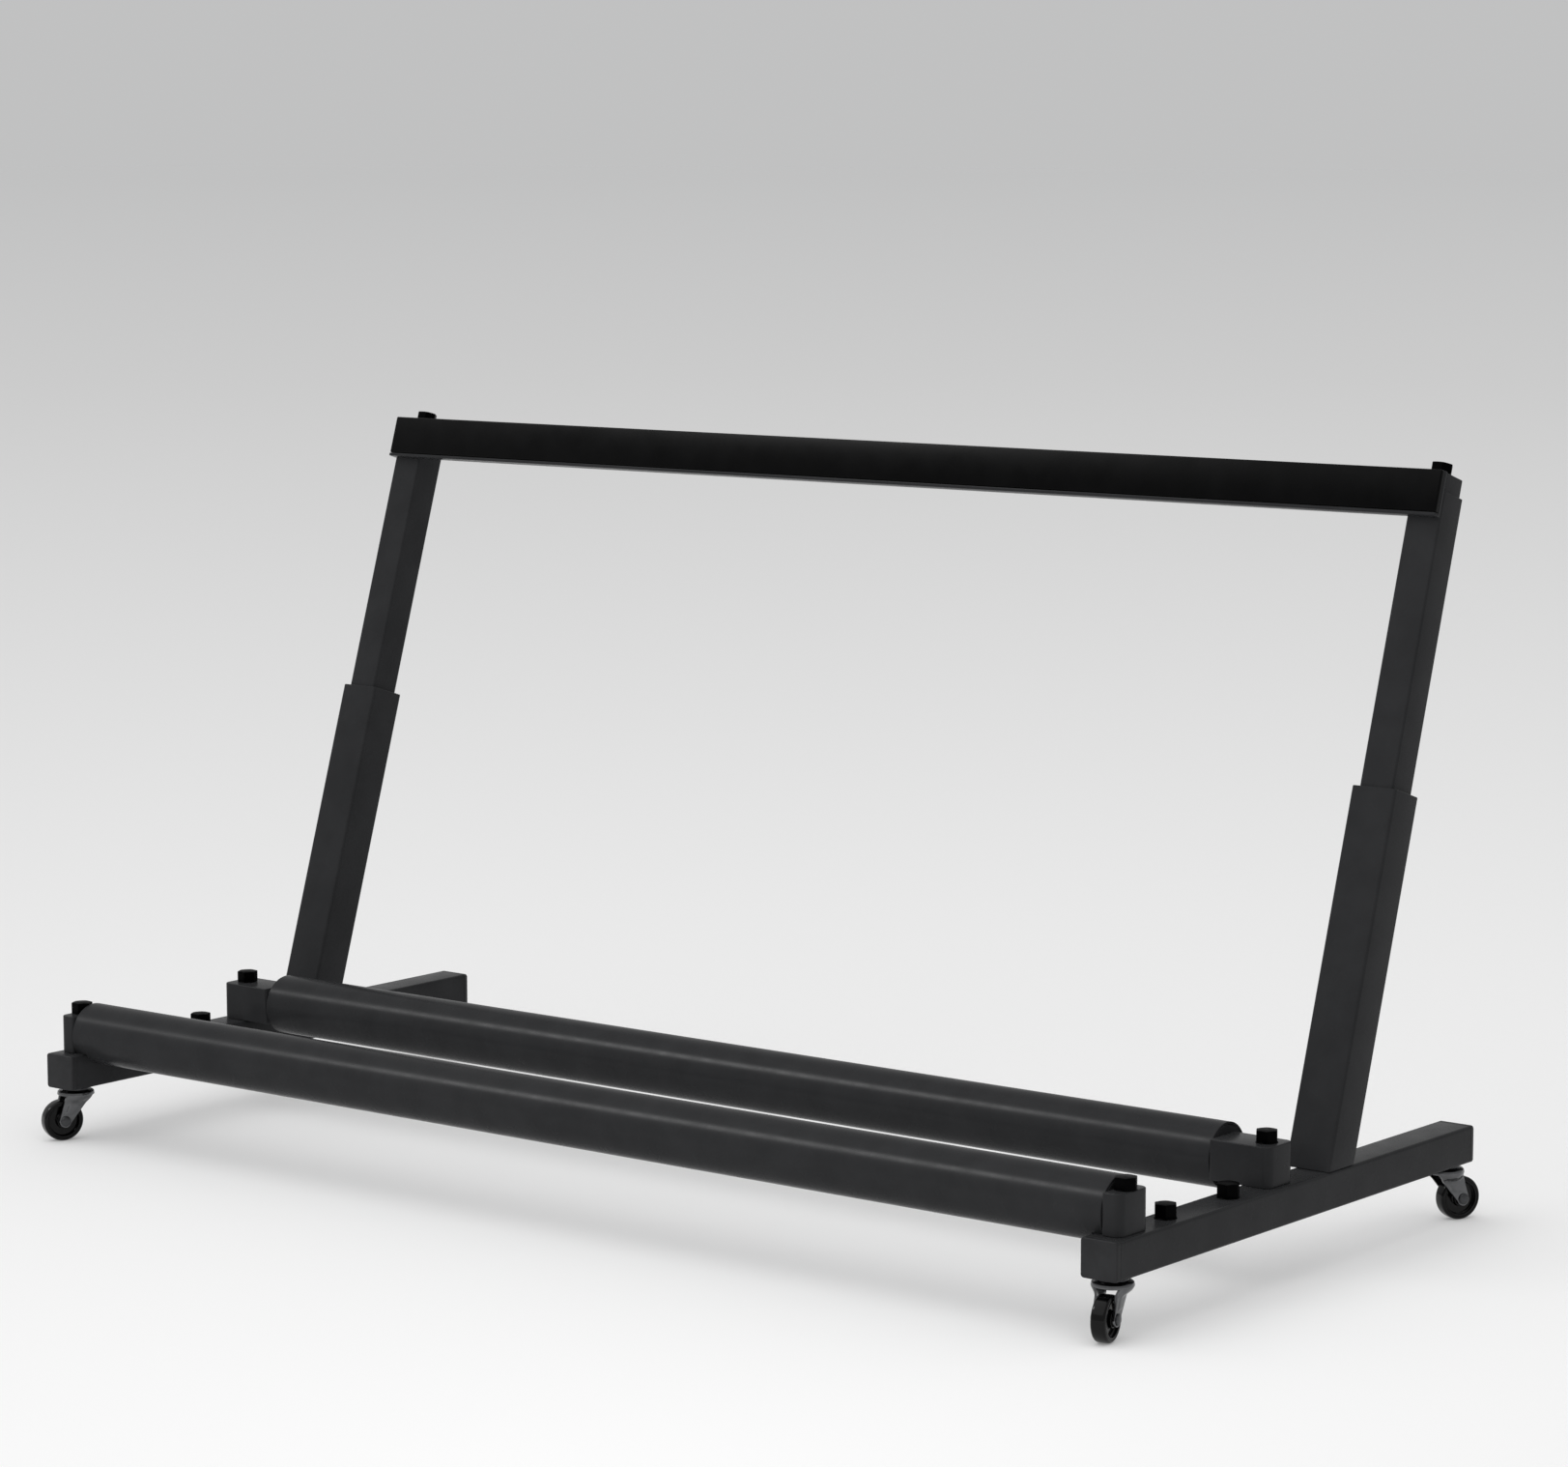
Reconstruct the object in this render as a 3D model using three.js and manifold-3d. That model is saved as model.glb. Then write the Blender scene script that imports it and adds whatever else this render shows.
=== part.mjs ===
// Display stand on swivel casters: two rails join two feet, and a padded bar
// is carried by two telescopic uprights that lean back.
//
// Millimetres. X runs along the rails, Y from front to back, Z up.
// The origin is on the floor, in the middle of the rectangle of the feet.

import * as THREE from 'three';
import { mergeVertices } from 'three/addons/utils/BufferGeometryUtils.js';
import Module from 'manifold-3d';

const wasm = await Module();
wasm.setup();

// Whole stand
const standWidth = 1045; // over the outer sides of the feet
const footLength = 470; // front to back, over the end caps
const clearUnderFoot = 43; // floor to the underside of a foot

// Clearances
const seat = 0.3; // between pieces that rest on each other
const slip = 0.3; // round a shank in its hole, and round a plug in its tube
const overrun = 4; // how far a cutting shape runs past the face it cuts

// Foot beam and its end caps
const footWidth = 30;
const footHeight = 28;
const footWall = 2;
const footCorner = 2.5;
const capFlange = 4;
const plugWall = 5; // material left past the last hole of a cap's plug

// Bolts with moulded hexagonal caps
const boltCapCorner = 8.2; // from the axis to a corner of the hexagon
const boltCapBevel = 1.8;
const boltShank = 4; // radius
const boltEntry = 12; // how far a bolt goes into a plug
const boltTail = 3; // how far a bolt stands out under the nut strip

// Nut strip and bolts on the foot
const stripWidth = 20;
const stripThickness = 5;
const stripEnd = 16; // from the last bolt's axis to the strip's end
const footBoltPlaces = [80, 158]; // from the foot's front end
const footBoltCapHeight = 10.5;

// Rails
const railRadius = 24;
const railWall = 2;
const railAxisHeight = 14; // above the top of the foot
const notchGap = 0.6; // between the front rail and the foot's inner side

// Rail brackets
const bracketInset = 5; // from the foot's outer side
const frontBracketWidth = 15;
const rearBracketWidth = 50;
const frontBracketDepth = 35;
const rearBracketDepth = 33;
const bracketHeight = 29.5;
const bracketOuterCorner = 6.5;
const bracketInnerCorner = 1.5;
const frontBracketPlace = 10.5; // from the foot's front end to the bracket
const rearBracketPlace = 194.5;
const frontBracketBolt = 17.5; // from the bracket's front face to its bolt's axis
const rearBracketBolt = 16.5;
const frontBracketBoltInset = 7.5; // from the bracket's outer side to its bolt's axis
const rearBracketBoltInset = 12.5;
const bracketBoltCapHeight = 9;
const frontRailPlace = 23; // from the bracket's front face to the rail's axis
const rearRailPlace = 24;
const spigotLength = 26;
const neckRadius = 7.5;
const neckEntry = 4;

// Upright sleeve
const leanAngle = THREE.MathUtils.degToRad(17.5);
const sleeveWidth = 37;
const sleeveDepth = 34;
const sleeveWall = 1.5;
const sleeveCorner = 2.5;
const sleevePlace = 265.5; // from the foot's front end to the sleeve's front face
const sleeveFrontLength = 280; // along the front face
const bushHeight = 25;

// Sleeve lock
const lockBelowBush = 18;
const lockNutCorner = 8; // from the axis to a corner of the nut
const lockNutHeight = 5;
const lockShank = 3; // radius
const lockHeadRadius = 5.5;
const lockHeadHeight = 3;
const lockHeadCrown = 2; // radius of the flat on the head's top
const lockSocket = 2; // across the corners, from the axis
const lockSocketDepth = 1.6;

// Sliding post
const postWidth = 28;
const postDepth = 28;
const postWall = 1.5;
const postCorner = 2;
const postTop = 496; // along the upright, from the top of the foot
const postInsertion = 140; // length inside the sleeve at rest

// Bar carrier in the top of each post
const carrierRise = 14; // above the post
const carrierEntry = 40; // inside the post
const carrierCorner = 1.5;
const barBoltCapHeight = 9;
const barBoltLength = 20;

// Padded bar
const barHeight = 34.5;
const barWeb = 3; // thickness of the upright leg
const barLip = 2.5; // thickness of the lower leg
const padThickness = 5;
const padEdge = 1.2;
const barScrewHeadRadius = 4.5;
const barScrewHeadHeight = 2.2;
const barScrewShank = 2.5; // radius
const barScrewEntry = 10; // into the carrier

// Casters
const casterInset = 17; // from the foot's end to the swivel axis
const wheelRadius = 16.5;
const wheelWidth = 11;
const wheelTrail = 12; // from the swivel axis to the axle
const treadRound = 2.2;
const rimInner = 12.5;
const wheelWeb = 5;
const hubRadius = 6;
const hubWidth = 12;
const axleRadius = 2.5;
const axleHeadRadius = 4.2;
const axleHeadHeight = 1.5;
const legGap = 0.5; // between the hub and a leg
const legThickness = 2;
const legEndRadius = 5.2;
const legFrontReach = 11; // ahead of the swivel axis, at the crown
const legBackReach = 11; // behind the swivel axis, at the crown
const crownRadius = 15;
const crownThickness = 2.6;
const crownBevel = 1.2;
const collarRadius = 11;
const collarHeight = 1.8;
const bearingGap = 0.4;
const rivetRadius = 6;
const rivetHeight = 2;
const pivotRadius = 3.5;
const stemRadius = 4;
const stemEntry = 14; // above the underside of the foot

// How far each caster is turned from trailing straight to the front
const casterTurns = {
  front_left: THREE.MathUtils.degToRad(-23),
  front_right: THREE.MathUtils.degToRad(13),
  rear_left: THREE.MathUtils.degToRad(188),
  rear_right: THREE.MathUtils.degToRad(153),
};

// Facets
const shankFacets = 12; // shanks, stems and their holes
const turnedFacets = 16;
const wheelFacets = 24;
const railFacets = 48;
const cornerFacets = 2;

// Places worked out from the sizes above
const footTop = clearUnderFoot + footHeight;
const footMiddle = clearUnderFoot + footHeight / 2;
const footFront = -footLength / 2;
const footCentreX = (standWidth - footWidth) / 2;
const beamLength = footLength - 2 * (capFlange + seat);
const bracketOuterX = standWidth / 2 - bracketInset;
const railZ = footTop + railAxisHeight;
const uprightX = (standWidth - sleeveWidth) / 2;
const uprightY = footFront + sleevePlace + sleeveDepth / 2 / Math.cos(leanAngle);
const sleeveTop = sleeveFrontLength - (sleeveDepth / 2) * Math.tan(leanAngle);
const carrierTop = postTop + carrierRise;
const barLength = 2 * uprightX + postWidth;
const barBack = -postDepth / 2 - seat;
const barBottom = carrierTop - barHeight;
const barScrewHeight = (barBottom + postTop) / 2;
const lockHeight = sleeveTop - bushHeight - lockBelowBush;
const axleDrop = clearUnderFoot - wheelRadius;
const crownTop = -(seat + collarHeight + bearingGap);
const crownBottom = crownTop - crownThickness;
const legInner = hubWidth / 2 + legGap;
const legOuter = legInner + legThickness;
const brackets = {
  front: {
    width: frontBracketWidth,
    depth: frontBracketDepth,
    faceY: footFront + frontBracketPlace,
    boltX: bracketOuterX - frontBracketBoltInset,
    bolt: frontBracketBolt,
    rail: frontRailPlace,
  },
  rear: {
    width: rearBracketWidth,
    depth: rearBracketDepth,
    faceY: footFront + rearBracketPlace,
    boltX: bracketOuterX - rearBracketBoltInset,
    bolt: rearBracketBolt,
    rail: rearRailPlace,
  },
};
const sides = { left: -1, right: 1 };

// Finishes

const finishes = {
  charcoalPaint: { color: 0x35363a, roughness: 0.55, metalness: 0.3 },
  blackPlastic: { color: 0x0b0b0c, roughness: 0.22, metalness: 0 },
  darkPlastic: { color: 0x1d1d1f, roughness: 0.5, metalness: 0 },
  nylon: { color: 0x2b2b2d, roughness: 0.45, metalness: 0 },
  padRubber: { color: 0x0d0d0e, roughness: 0.35, metalness: 0 },
  wheelRubber: { color: 0x121213, roughness: 0.4, metalness: 0 },
  zincPlate: { color: 0x9a9da1, roughness: 0.35, metalness: 0.9 },
  steel: { color: 0x7d8084, roughness: 0.4, metalness: 0.9 },
};

// Solids and meshes

/** Turns a closed three.js geometry into a solid that can be joined and cut. */
function solid(geometry) {
  const bare = geometry.clone();
  bare.deleteAttribute('normal');
  bare.deleteAttribute('uv');
  const merged = mergeVertices(bare);
  return new wasm.Manifold(new wasm.Mesh({
    numProp: 3,
    vertProperties: new Float32Array(merged.attributes.position.array),
    triVerts: new Uint32Array(merged.index.array),
  }));
}

/** Makes the named mesh of a solid in one of the finishes. */
function piece(name, body, finish) {
  const { vertProperties, triVerts, numProp } = body.getMesh();
  const positions = new Float32Array((vertProperties.length / numProp) * 3);
  for (let i = 0; i < positions.length / 3; i += 1) {
    for (let axis = 0; axis < 3; axis += 1) {
      positions[3 * i + axis] = vertProperties[numProp * i + axis];
    }
  }
  const geometry = new THREE.BufferGeometry();
  geometry.setAttribute('position', new THREE.BufferAttribute(positions, 3));
  geometry.setIndex(new THREE.BufferAttribute(new Uint32Array(triVerts), 1));
  geometry.computeVertexNormals();
  const mesh = new THREE.Mesh(geometry, new THREE.MeshStandardMaterial(finishes[finish]));
  mesh.name = name;
  return mesh;
}

/** A box given by its two extreme corners. */
function block(low, high) {
  const size = high.map((value, axis) => value - low[axis]);
  const centre = high.map((value, axis) => (value + low[axis]) / 2);
  return solid(new THREE.BoxGeometry(...size).translate(...centre));
}

/** A turned body about the Z axis, from [radius, height] points that start and end on the axis. */
function turned(profile, facets = turnedFacets) {
  const points = profile.map(([radius, height]) => new THREE.Vector2(radius, height));
  return solid(new THREE.LatheGeometry(points, facets).rotateX(Math.PI / 2));
}

/** A round bar about the Z axis, between two heights. */
function roundBar(radius, low, high, facets = shankFacets) {
  return turned([[0, low], [radius, low], [radius, high], [0, high]], facets);
}

/** A rectangle with round corners, centred on the origin. Those at negative X may have a radius of their own. */
function roundedRectangle(width, height, radius, otherRadius = radius) {
  const x = width / 2;
  const y = height / 2;
  const outline = new THREE.Shape();
  outline.moveTo(x, radius - y);
  outline.absarc(x - radius, y - radius, radius, 0, Math.PI / 2, false);
  outline.absarc(otherRadius - x, y - otherRadius, otherRadius, Math.PI / 2, Math.PI, false);
  outline.absarc(otherRadius - x, otherRadius - y, otherRadius, Math.PI, 1.5 * Math.PI, false);
  outline.absarc(x - radius, radius - y, radius, 1.5 * Math.PI, 2 * Math.PI, false);
  return outline;
}

/** A shape drawn out along Z between two heights. */
function prism(outline, low, high) {
  const settings = { depth: high - low, bevelEnabled: false, curveSegments: cornerFacets };
  return solid(new THREE.ExtrudeGeometry(outline, settings).translate(0, 0, low));
}

/** A rectangular tube about the Z axis, open at both ends. */
function boxTube(width, depth, corner, wall, low, high) {
  const inner = roundedRectangle(width - 2 * wall, depth - 2 * wall, Math.max(corner - wall, wall / 2));
  return prism(roundedRectangle(width, depth, corner), low, high)
    .subtract(prism(inner, low - overrun, high + overrun));
}

/** A solid drawn along Z, laid so that its length runs along Y and its height along Z. */
function alongY(body) {
  return body.rotate([90, 0, 0]);
}

/** A solid drawn along Z, laid so that its length runs along X. */
function alongX(body) {
  return body.rotate([0, 90, 0]);
}

// Foot

/** Height of the caps' plugs and the strip's top face, below the foot's top. */
const innerTop = footTop - footWall - slip;

/** How far from the foot's end a cap's plug reaches, to hold its last bolt or stem. */
function plugReach(place) {
  const lastHole = Math.max(
    casterInset + stemRadius,
    place === 'front' ? frontBracketPlace + frontBracketBolt + boltShank : 0,
  );
  return lastHole + slip + plugWall;
}

/** Round bars through the top of the foot between two heights, one for each bolt. */
function boltHoles(side, low, high) {
  const hole = roundBar(boltShank + slip, low, high);
  const bracketHoles = Object.values(brackets).map(
    ({ boltX, faceY, bolt }) => hole.translate([side * (boltX - footCentreX), faceY + bolt, 0]),
  );
  const footHoles = footBoltPlaces.map((place) => hole.translate([0, footFront + place, 0]));
  return [...bracketHoles, ...footHoles];
}

/** The foot's hollow beam with its bolt and stem holes. */
function footBeam(side) {
  const section = boxTube(footWidth, footHeight, footCorner, footWall, -beamLength / 2, beamLength / 2);
  let beam = alongY(section).translate([0, 0, footMiddle]);
  for (const hole of boltHoles(side, footMiddle, footTop + overrun)) {
    beam = beam.subtract(hole);
  }
  const stemHole = roundBar(stemRadius + slip, clearUnderFoot - overrun, footMiddle);
  for (const end of [-1, 1]) {
    beam = beam.subtract(stemHole.translate([0, end * (footLength / 2 - casterInset), 0]));
  }
  return beam;
}

/** An end cap: a flange over the beam's end and a plug inside, which takes the caster's stem. */
function footCap(side, place) {
  const end = place === 'front' ? -1 : 1;
  const flange = prism(roundedRectangle(footWidth, footHeight, footCorner), 0, capFlange);
  const plugWidth = footWidth - 2 * (footWall + slip);
  const plugHeight = footHeight - 2 * (footWall + slip);
  const plug = prism(roundedRectangle(plugWidth, plugHeight, footWall / 2), capFlange / 2, plugReach(place));
  let cap = alongY(flange.add(plug));
  if (end < 0) {
    cap = cap.rotate([0, 0, 180]);
  }
  cap = cap.translate([0, end * footLength / 2, footMiddle]);
  const stemHole = roundBar(stemRadius + slip, clearUnderFoot, clearUnderFoot + stemEntry + slip)
    .translate([0, end * (footLength / 2 - casterInset), 0]);
  cap = cap.subtract(stemHole);
  if (place === 'front') {
    const boltHole = roundBar(boltShank + slip, footTop - boltEntry - slip, footTop)
      .translate([side * (brackets.front.boltX - footCentreX), brackets.front.faceY + frontBracketBolt, 0]);
    cap = cap.subtract(boltHole);
  }
  return cap;
}

/** The strip of nuts under the foot's upper wall. */
function nutStrip(side) {
  const first = footFront + footBoltPlaces[0] - stripEnd;
  const last = brackets.rear.faceY + rearBracketBolt + stripEnd;
  let strip = block(
    [-stripWidth / 2, first, innerTop - stripThickness],
    [stripWidth / 2, last, innerTop],
  );
  for (const hole of boltHoles(side, footMiddle, footTop)) {
    strip = strip.subtract(hole);
  }
  return strip;
}

/** A bolt about the Z axis: the cap's underside is at height zero and the shank goes down. */
function cappedBolt(capHeight, shankLength) {
  const cap = turned([
    [0, 0],
    [boltCapCorner, 0],
    [boltCapCorner, capHeight - boltCapBevel],
    [boltCapCorner - boltCapBevel, capHeight],
    [0, capHeight],
  ], 6);
  return cap.add(roundBar(boltShank, -shankLength, capHeight / 2));
}

// Rails and their brackets

/** A bracket of the right foot: a block with a round spigot that fills the end of the rail. */
function rightBracket({ width, depth, rail: railPlace, boltX, bolt }) {
  const foot = roundedRectangle(width, depth, bracketOuterCorner, bracketInnerCorner);
  const spigotRadius = railRadius - railWall - slip;
  const spigot = alongX(roundBar(spigotRadius, -spigotLength, -seat, railFacets / 2));
  const neck = alongX(roundBar(neckRadius, -spigotLength / 2, neckEntry));
  const round = spigot.add(neck)
    .translate([-width / 2, railPlace - depth / 2, railAxisHeight])
    .intersect(block([-standWidth, -footLength, seat], [standWidth, footLength, footLength]));
  const boltHole = roundBar(boltShank + slip, -overrun, bracketHeight + overrun)
    .translate([boltX - bracketOuterX + width / 2, bolt - depth / 2, 0]);
  return prism(foot, seat, seat + bracketHeight)
    .add(round)
    .subtract(boltHole);
}

/** A bracket of either foot. The left one is the right one mirrored. */
function railBracket(side, bracket) {
  const right = rightBracket(bracket);
  return side > 0 ? right : right.mirror([1, 0, 0]);
}

/** A rail: a round tube between two brackets, cut away where it passes over a foot. */
function rail(bracket) {
  const half = bracketOuterX - bracket.width - seat;
  const tube = roundBar(railRadius, -half, half, railFacets)
    .subtract(roundBar(railRadius - railWall, -half - overrun, half + overrun, railFacets));
  let cut = alongX(tube);
  const innerSide = standWidth / 2 - footWidth - notchGap;
  if (half <= innerSide) {
    return cut;
  }
  for (const end of [-1, 1]) {
    const reach = [end * innerSide, end * (half + overrun)].sort((a, b) => a - b);
    cut = cut.subtract(block(
      [reach[0], -railRadius - overrun, -railRadius - overrun],
      [reach[1], railRadius + overrun, seat - railAxisHeight],
    ));
  }
  return cut;
}

// Uprights, drawn along Z and then leant back

/** Takes off what lies below the top of the foot, seen from the leaning upright. */
function cutLevel(body) {
  const below = block(
    [-sleeveWidth, -sleeveFrontLength, -sleeveFrontLength],
    [sleeveWidth, sleeveFrontLength, seat],
  );
  return body.subtract(below.rotate([THREE.MathUtils.radToDeg(leanAngle), 0, 0]));
}

/** The sleeve, cut level where it stands on the foot. */
function sleeve() {
  const tube = boxTube(sleeveWidth, sleeveDepth, sleeveCorner, sleeveWall, -sleeveDepth, sleeveTop);
  const screwHole = roundBar(lockShank + slip, 0, sleeveDepth).rotate([-90, 0, 0])
    .translate([0, 0, lockHeight]);
  return cutLevel(tube).subtract(screwHole);
}

/** The glide bush inside the sleeve's mouth. */
function sleeveBush() {
  const width = sleeveWidth - 2 * (sleeveWall + slip);
  const depth = sleeveDepth - 2 * (sleeveWall + slip);
  const bore = roundedRectangle(postWidth + 2 * slip, postDepth + 2 * slip, postCorner);
  return prism(roundedRectangle(width, depth, sleeveCorner - sleeveWall), sleeveTop - bushHeight, sleeveTop)
    .subtract(prism(bore, sleeveTop - bushHeight - overrun, sleeveTop + overrun));
}

/** The nut that is fixed behind the sleeve for the lock screw. */
function lockNut() {
  return roundBar(lockNutCorner, 0, lockNutHeight, 6)
    .subtract(roundBar(lockShank + slip, -overrun, lockNutHeight + overrun))
    .rotate([-90, 0, 0])
    .translate([0, sleeveDepth / 2 + seat, lockHeight]);
}

/** The lock screw, with its tip against the post and its head outside the nut. */
function lockScrew() {
  const underHead = sleeveDepth / 2 + lockNutHeight + 2 * seat;
  const tip = postDepth / 2 + seat;
  const head = turned([
    [0, underHead],
    [lockHeadRadius, underHead],
    [lockHeadRadius, underHead + lockHeadHeight / 2],
    [lockHeadCrown, underHead + lockHeadHeight],
    [0, underHead + lockHeadHeight],
  ]);
  const top = underHead + lockHeadHeight;
  return head.add(roundBar(lockShank, tip, underHead + lockHeadHeight / 2))
    .subtract(roundBar(lockSocket, top - lockSocketDepth, top + overrun, 6))
    .rotate([-90, 0, 0])
    .translate([0, 0, lockHeight]);
}

/** The sliding post with the hole for the bar's screw. */
function post() {
  const screwHole = roundBar(barScrewShank + slip, 0, postDepth).rotate([90, 0, 0])
    .translate([0, 0, barScrewHeight]);
  return boxTube(postWidth, postDepth, postCorner, postWall, sleeveTop - postInsertion, postTop)
    .subtract(screwHole);
}

/** The carrier that plugs the post and takes the bar's screw and bolt. */
function barCarrier() {
  const width = postWidth - 2 * (postWall + slip);
  const depth = postDepth - 2 * (postWall + slip);
  const boltHole = roundBar(boltShank + slip, carrierTop - barBoltLength - slip, carrierTop + overrun);
  const screwLength = barScrewEntry + slip;
  const screwHole = roundBar(barScrewShank + slip, -overrun, screwLength).rotate([-90, 0, 0])
    .translate([0, -depth / 2, barScrewHeight]);
  return prism(roundedRectangle(width, depth, carrierCorner), postTop - carrierEntry, carrierTop)
    .subtract(boltHole)
    .subtract(screwHole);
}

/** The bar: an upright leg behind the pad and a narrow leg under it. */
function topBar() {
  const front = barBack - barWeb - seat - padThickness;
  const web = block([-barLength / 2, barBack - barWeb, barBottom], [barLength / 2, barBack, carrierTop]);
  const lip = block([-barLength / 2, front, barBottom], [barLength / 2, barBack, barBottom + barLip]);
  let bar = web.add(lip);
  for (const side of Object.values(sides)) {
    bar = bar.subtract(roundBar(barScrewShank + slip, -overrun, barWeb + overrun).rotate([90, 0, 0])
      .translate([side * uprightX, barBack, barScrewHeight]));
  }
  return bar;
}

/** The pad on the bar's face, hollowed over the screws' heads. */
function barPad() {
  const back = barBack - barWeb - seat;
  const height = barHeight - barLip - seat;
  const outline = new THREE.Shape();
  outline.moveTo(0, 0);
  outline.lineTo(padThickness, 0);
  outline.lineTo(padThickness, height - padEdge);
  outline.absarc(padThickness - padEdge, height - padEdge, padEdge, 0, Math.PI / 2, false);
  outline.lineTo(0, height);
  let pad = prism(outline, -barLength / 2, barLength / 2)
    .rotate([90, 0, 0])
    .rotate([0, 0, -90])
    .translate([0, back, barBottom + barLip + seat]);
  for (const side of Object.values(sides)) {
    const pocket = roundBar(barScrewHeadRadius + slip, -overrun, barScrewHeadHeight + slip)
      .rotate([90, 0, 0]);
    pad = pad.subtract(pocket.translate([side * uprightX, back, barScrewHeight]));
  }
  return pad;
}

/** The screw that holds the bar to the post and its carrier. */
function barScrew() {
  const headBack = barWeb + seat;
  const carrierFace = postWall + slip + seat;
  return roundBar(barScrewHeadRadius, headBack, headBack + barScrewHeadHeight - seat)
    .add(roundBar(barScrewShank, -carrierFace - barScrewEntry, headBack + barScrewHeadHeight / 2))
    .rotate([90, 0, 0])
    .translate([0, barBack, barScrewHeight]);
}

// Casters, with height zero at the underside of the foot and the wheel trailing to the front

/** The fixed stem: threaded shank, collar, pivot and riveted end. */
function casterStem() {
  const rivetTop = crownBottom - bearingGap;
  return turned([
    [0, rivetTop - rivetHeight],
    [rivetRadius, rivetTop - rivetHeight],
    [rivetRadius, rivetTop],
    [pivotRadius, rivetTop],
    [pivotRadius, -seat - collarHeight],
    [collarRadius, -seat - collarHeight],
    [collarRadius, -seat],
    [stemRadius, -seat],
    [stemRadius, stemEntry],
    [0, stemEntry],
  ]);
}

/** One leg of the fork, as an outline in the plane of travel and height. */
function legOutline() {
  const outline = new THREE.Shape();
  outline.moveTo(-legBackReach, crownBottom + crownThickness / 2);
  outline.lineTo(-wheelTrail - legEndRadius, -axleDrop);
  outline.absarc(-wheelTrail, -axleDrop, legEndRadius, Math.PI, 1.9 * Math.PI, false);
  outline.lineTo(legFrontReach, crownBottom + crownThickness / 2);
  return outline;
}

/** The stamped fork: a round crown on the pivot and two tapering legs. */
function casterFork() {
  const crown = turned([
    [0, crownBottom],
    [crownRadius, crownBottom],
    [crownRadius, crownTop - crownBevel],
    [crownRadius - crownBevel, crownTop],
    [0, crownTop],
  ]);
  const settings = { depth: legThickness, bevelEnabled: false, curveSegments: 3 * cornerFacets };
  const leg = solid(new THREE.ExtrudeGeometry(legOutline(), settings)).rotate([90, 0, 0]).rotate([0, 0, 90]);
  const axleHole = alongX(roundBar(axleRadius + slip, -legOuter - overrun, legOuter + overrun))
    .translate([0, -wheelTrail, -axleDrop]);
  return crown
    .subtract(roundBar(pivotRadius + slip, crownBottom - overrun, crownTop + overrun))
    .add(leg.translate([legInner, 0, 0]))
    .add(leg.translate([-legOuter, 0, 0]))
    .subtract(axleHole);
}

/** The axle, riveted outside both legs. */
function casterAxle() {
  const head = legOuter + slip;
  return alongX(turned([
    [0, -head - axleHeadHeight],
    [axleHeadRadius, -head - axleHeadHeight],
    [axleHeadRadius, -head],
    [axleRadius, -head],
    [axleRadius, head],
    [axleHeadRadius, head],
    [axleHeadRadius, head + axleHeadHeight],
    [0, head + axleHeadHeight],
  ])).translate([0, -wheelTrail, -axleDrop]);
}

/** The wheel: a tread with round edges, a thin web and a hub on the axle. */
function casterWheel() {
  const half = wheelWidth / 2;
  const tread = [];
  for (let step = 0; step <= cornerFacets; step += 1) {
    const turn = (step / cornerFacets) * (Math.PI / 2);
    const radius = wheelRadius - treadRound + treadRound * Math.sin(turn);
    tread.push([radius, half - treadRound + treadRound * Math.cos(turn)]);
  }
  const upper = [
    [0, hubWidth / 2],
    [hubRadius, hubWidth / 2],
    [hubRadius, wheelWeb / 2],
    [rimInner, wheelWeb / 2],
    [rimInner, half],
    ...tread,
  ];
  const lower = upper.map(([radius, height]) => [radius, -height]).reverse();
  return alongX(turned([...upper, ...lower].reverse(), wheelFacets)
    .subtract(roundBar(axleRadius + slip, -hubWidth, hubWidth)))
    .translate([0, -wheelTrail, -axleDrop]);
}

// Assembly

/** Sets a mesh at a place in its group. */
function placed(mesh, x, y, z) {
  mesh.position.set(x, y, z);
  return mesh;
}

/** One foot with its caps, nut strip and bolts. */
function makeFoot(sideName) {
  const side = sides[sideName];
  const foot = new THREE.Group();
  foot.position.x = side * footCentreX;
  foot.add(piece(`foot_beam_${sideName}`, footBeam(side), 'charcoalPaint'));
  foot.add(piece(`nut_strip_${sideName}`, nutStrip(side), 'steel'));
  for (const place of ['front', 'rear']) {
    foot.add(piece(`foot_cap_${place}_${sideName}`, footCap(side, place), 'darkPlastic'));
  }
  const depth = footTop - innerTop + stripThickness + boltTail;
  footBoltPlaces.forEach((place, index) => {
    const bolt = piece(`foot_bolt_${index + 1}_${sideName}`, cappedBolt(footBoltCapHeight, depth), 'blackPlastic');
    foot.add(placed(bolt, 0, footFront + place, footTop + seat));
  });
  return foot;
}

/** One foot's two brackets and their bolts. */
function makeBrackets(sideName) {
  const side = sides[sideName];
  const group = new THREE.Group();
  group.position.z = footTop;
  const intoStrip = footTop - innerTop + stripThickness + boltTail;
  const grip = { front: boltEntry, rear: intoStrip };
  for (const [place, bracket] of Object.entries(brackets)) {
    const body = piece(`rail_bracket_${place}_${sideName}`, railBracket(side, bracket), 'charcoalPaint');
    const top = bracketHeight + 2 * seat;
    const bolt = piece(
      `bracket_bolt_${place}_${sideName}`,
      cappedBolt(bracketBoltCapHeight, top + grip[place]),
      'blackPlastic',
    );
    group.add(placed(body, side * (bracketOuterX - bracket.width / 2), bracket.faceY + bracket.depth / 2, 0));
    group.add(placed(bolt, side * bracket.boltX, bracket.faceY + bracket.bolt, top));
  }
  return group;
}

/** The two rails. */
function makeRails() {
  const rails = new THREE.Group();
  for (const [place, bracket] of Object.entries(brackets)) {
    rails.add(placed(piece(`${place}_rail`, rail(bracket), 'charcoalPaint'), 0, bracket.faceY + bracket.rail, railZ));
  }
  return rails;
}

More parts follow.
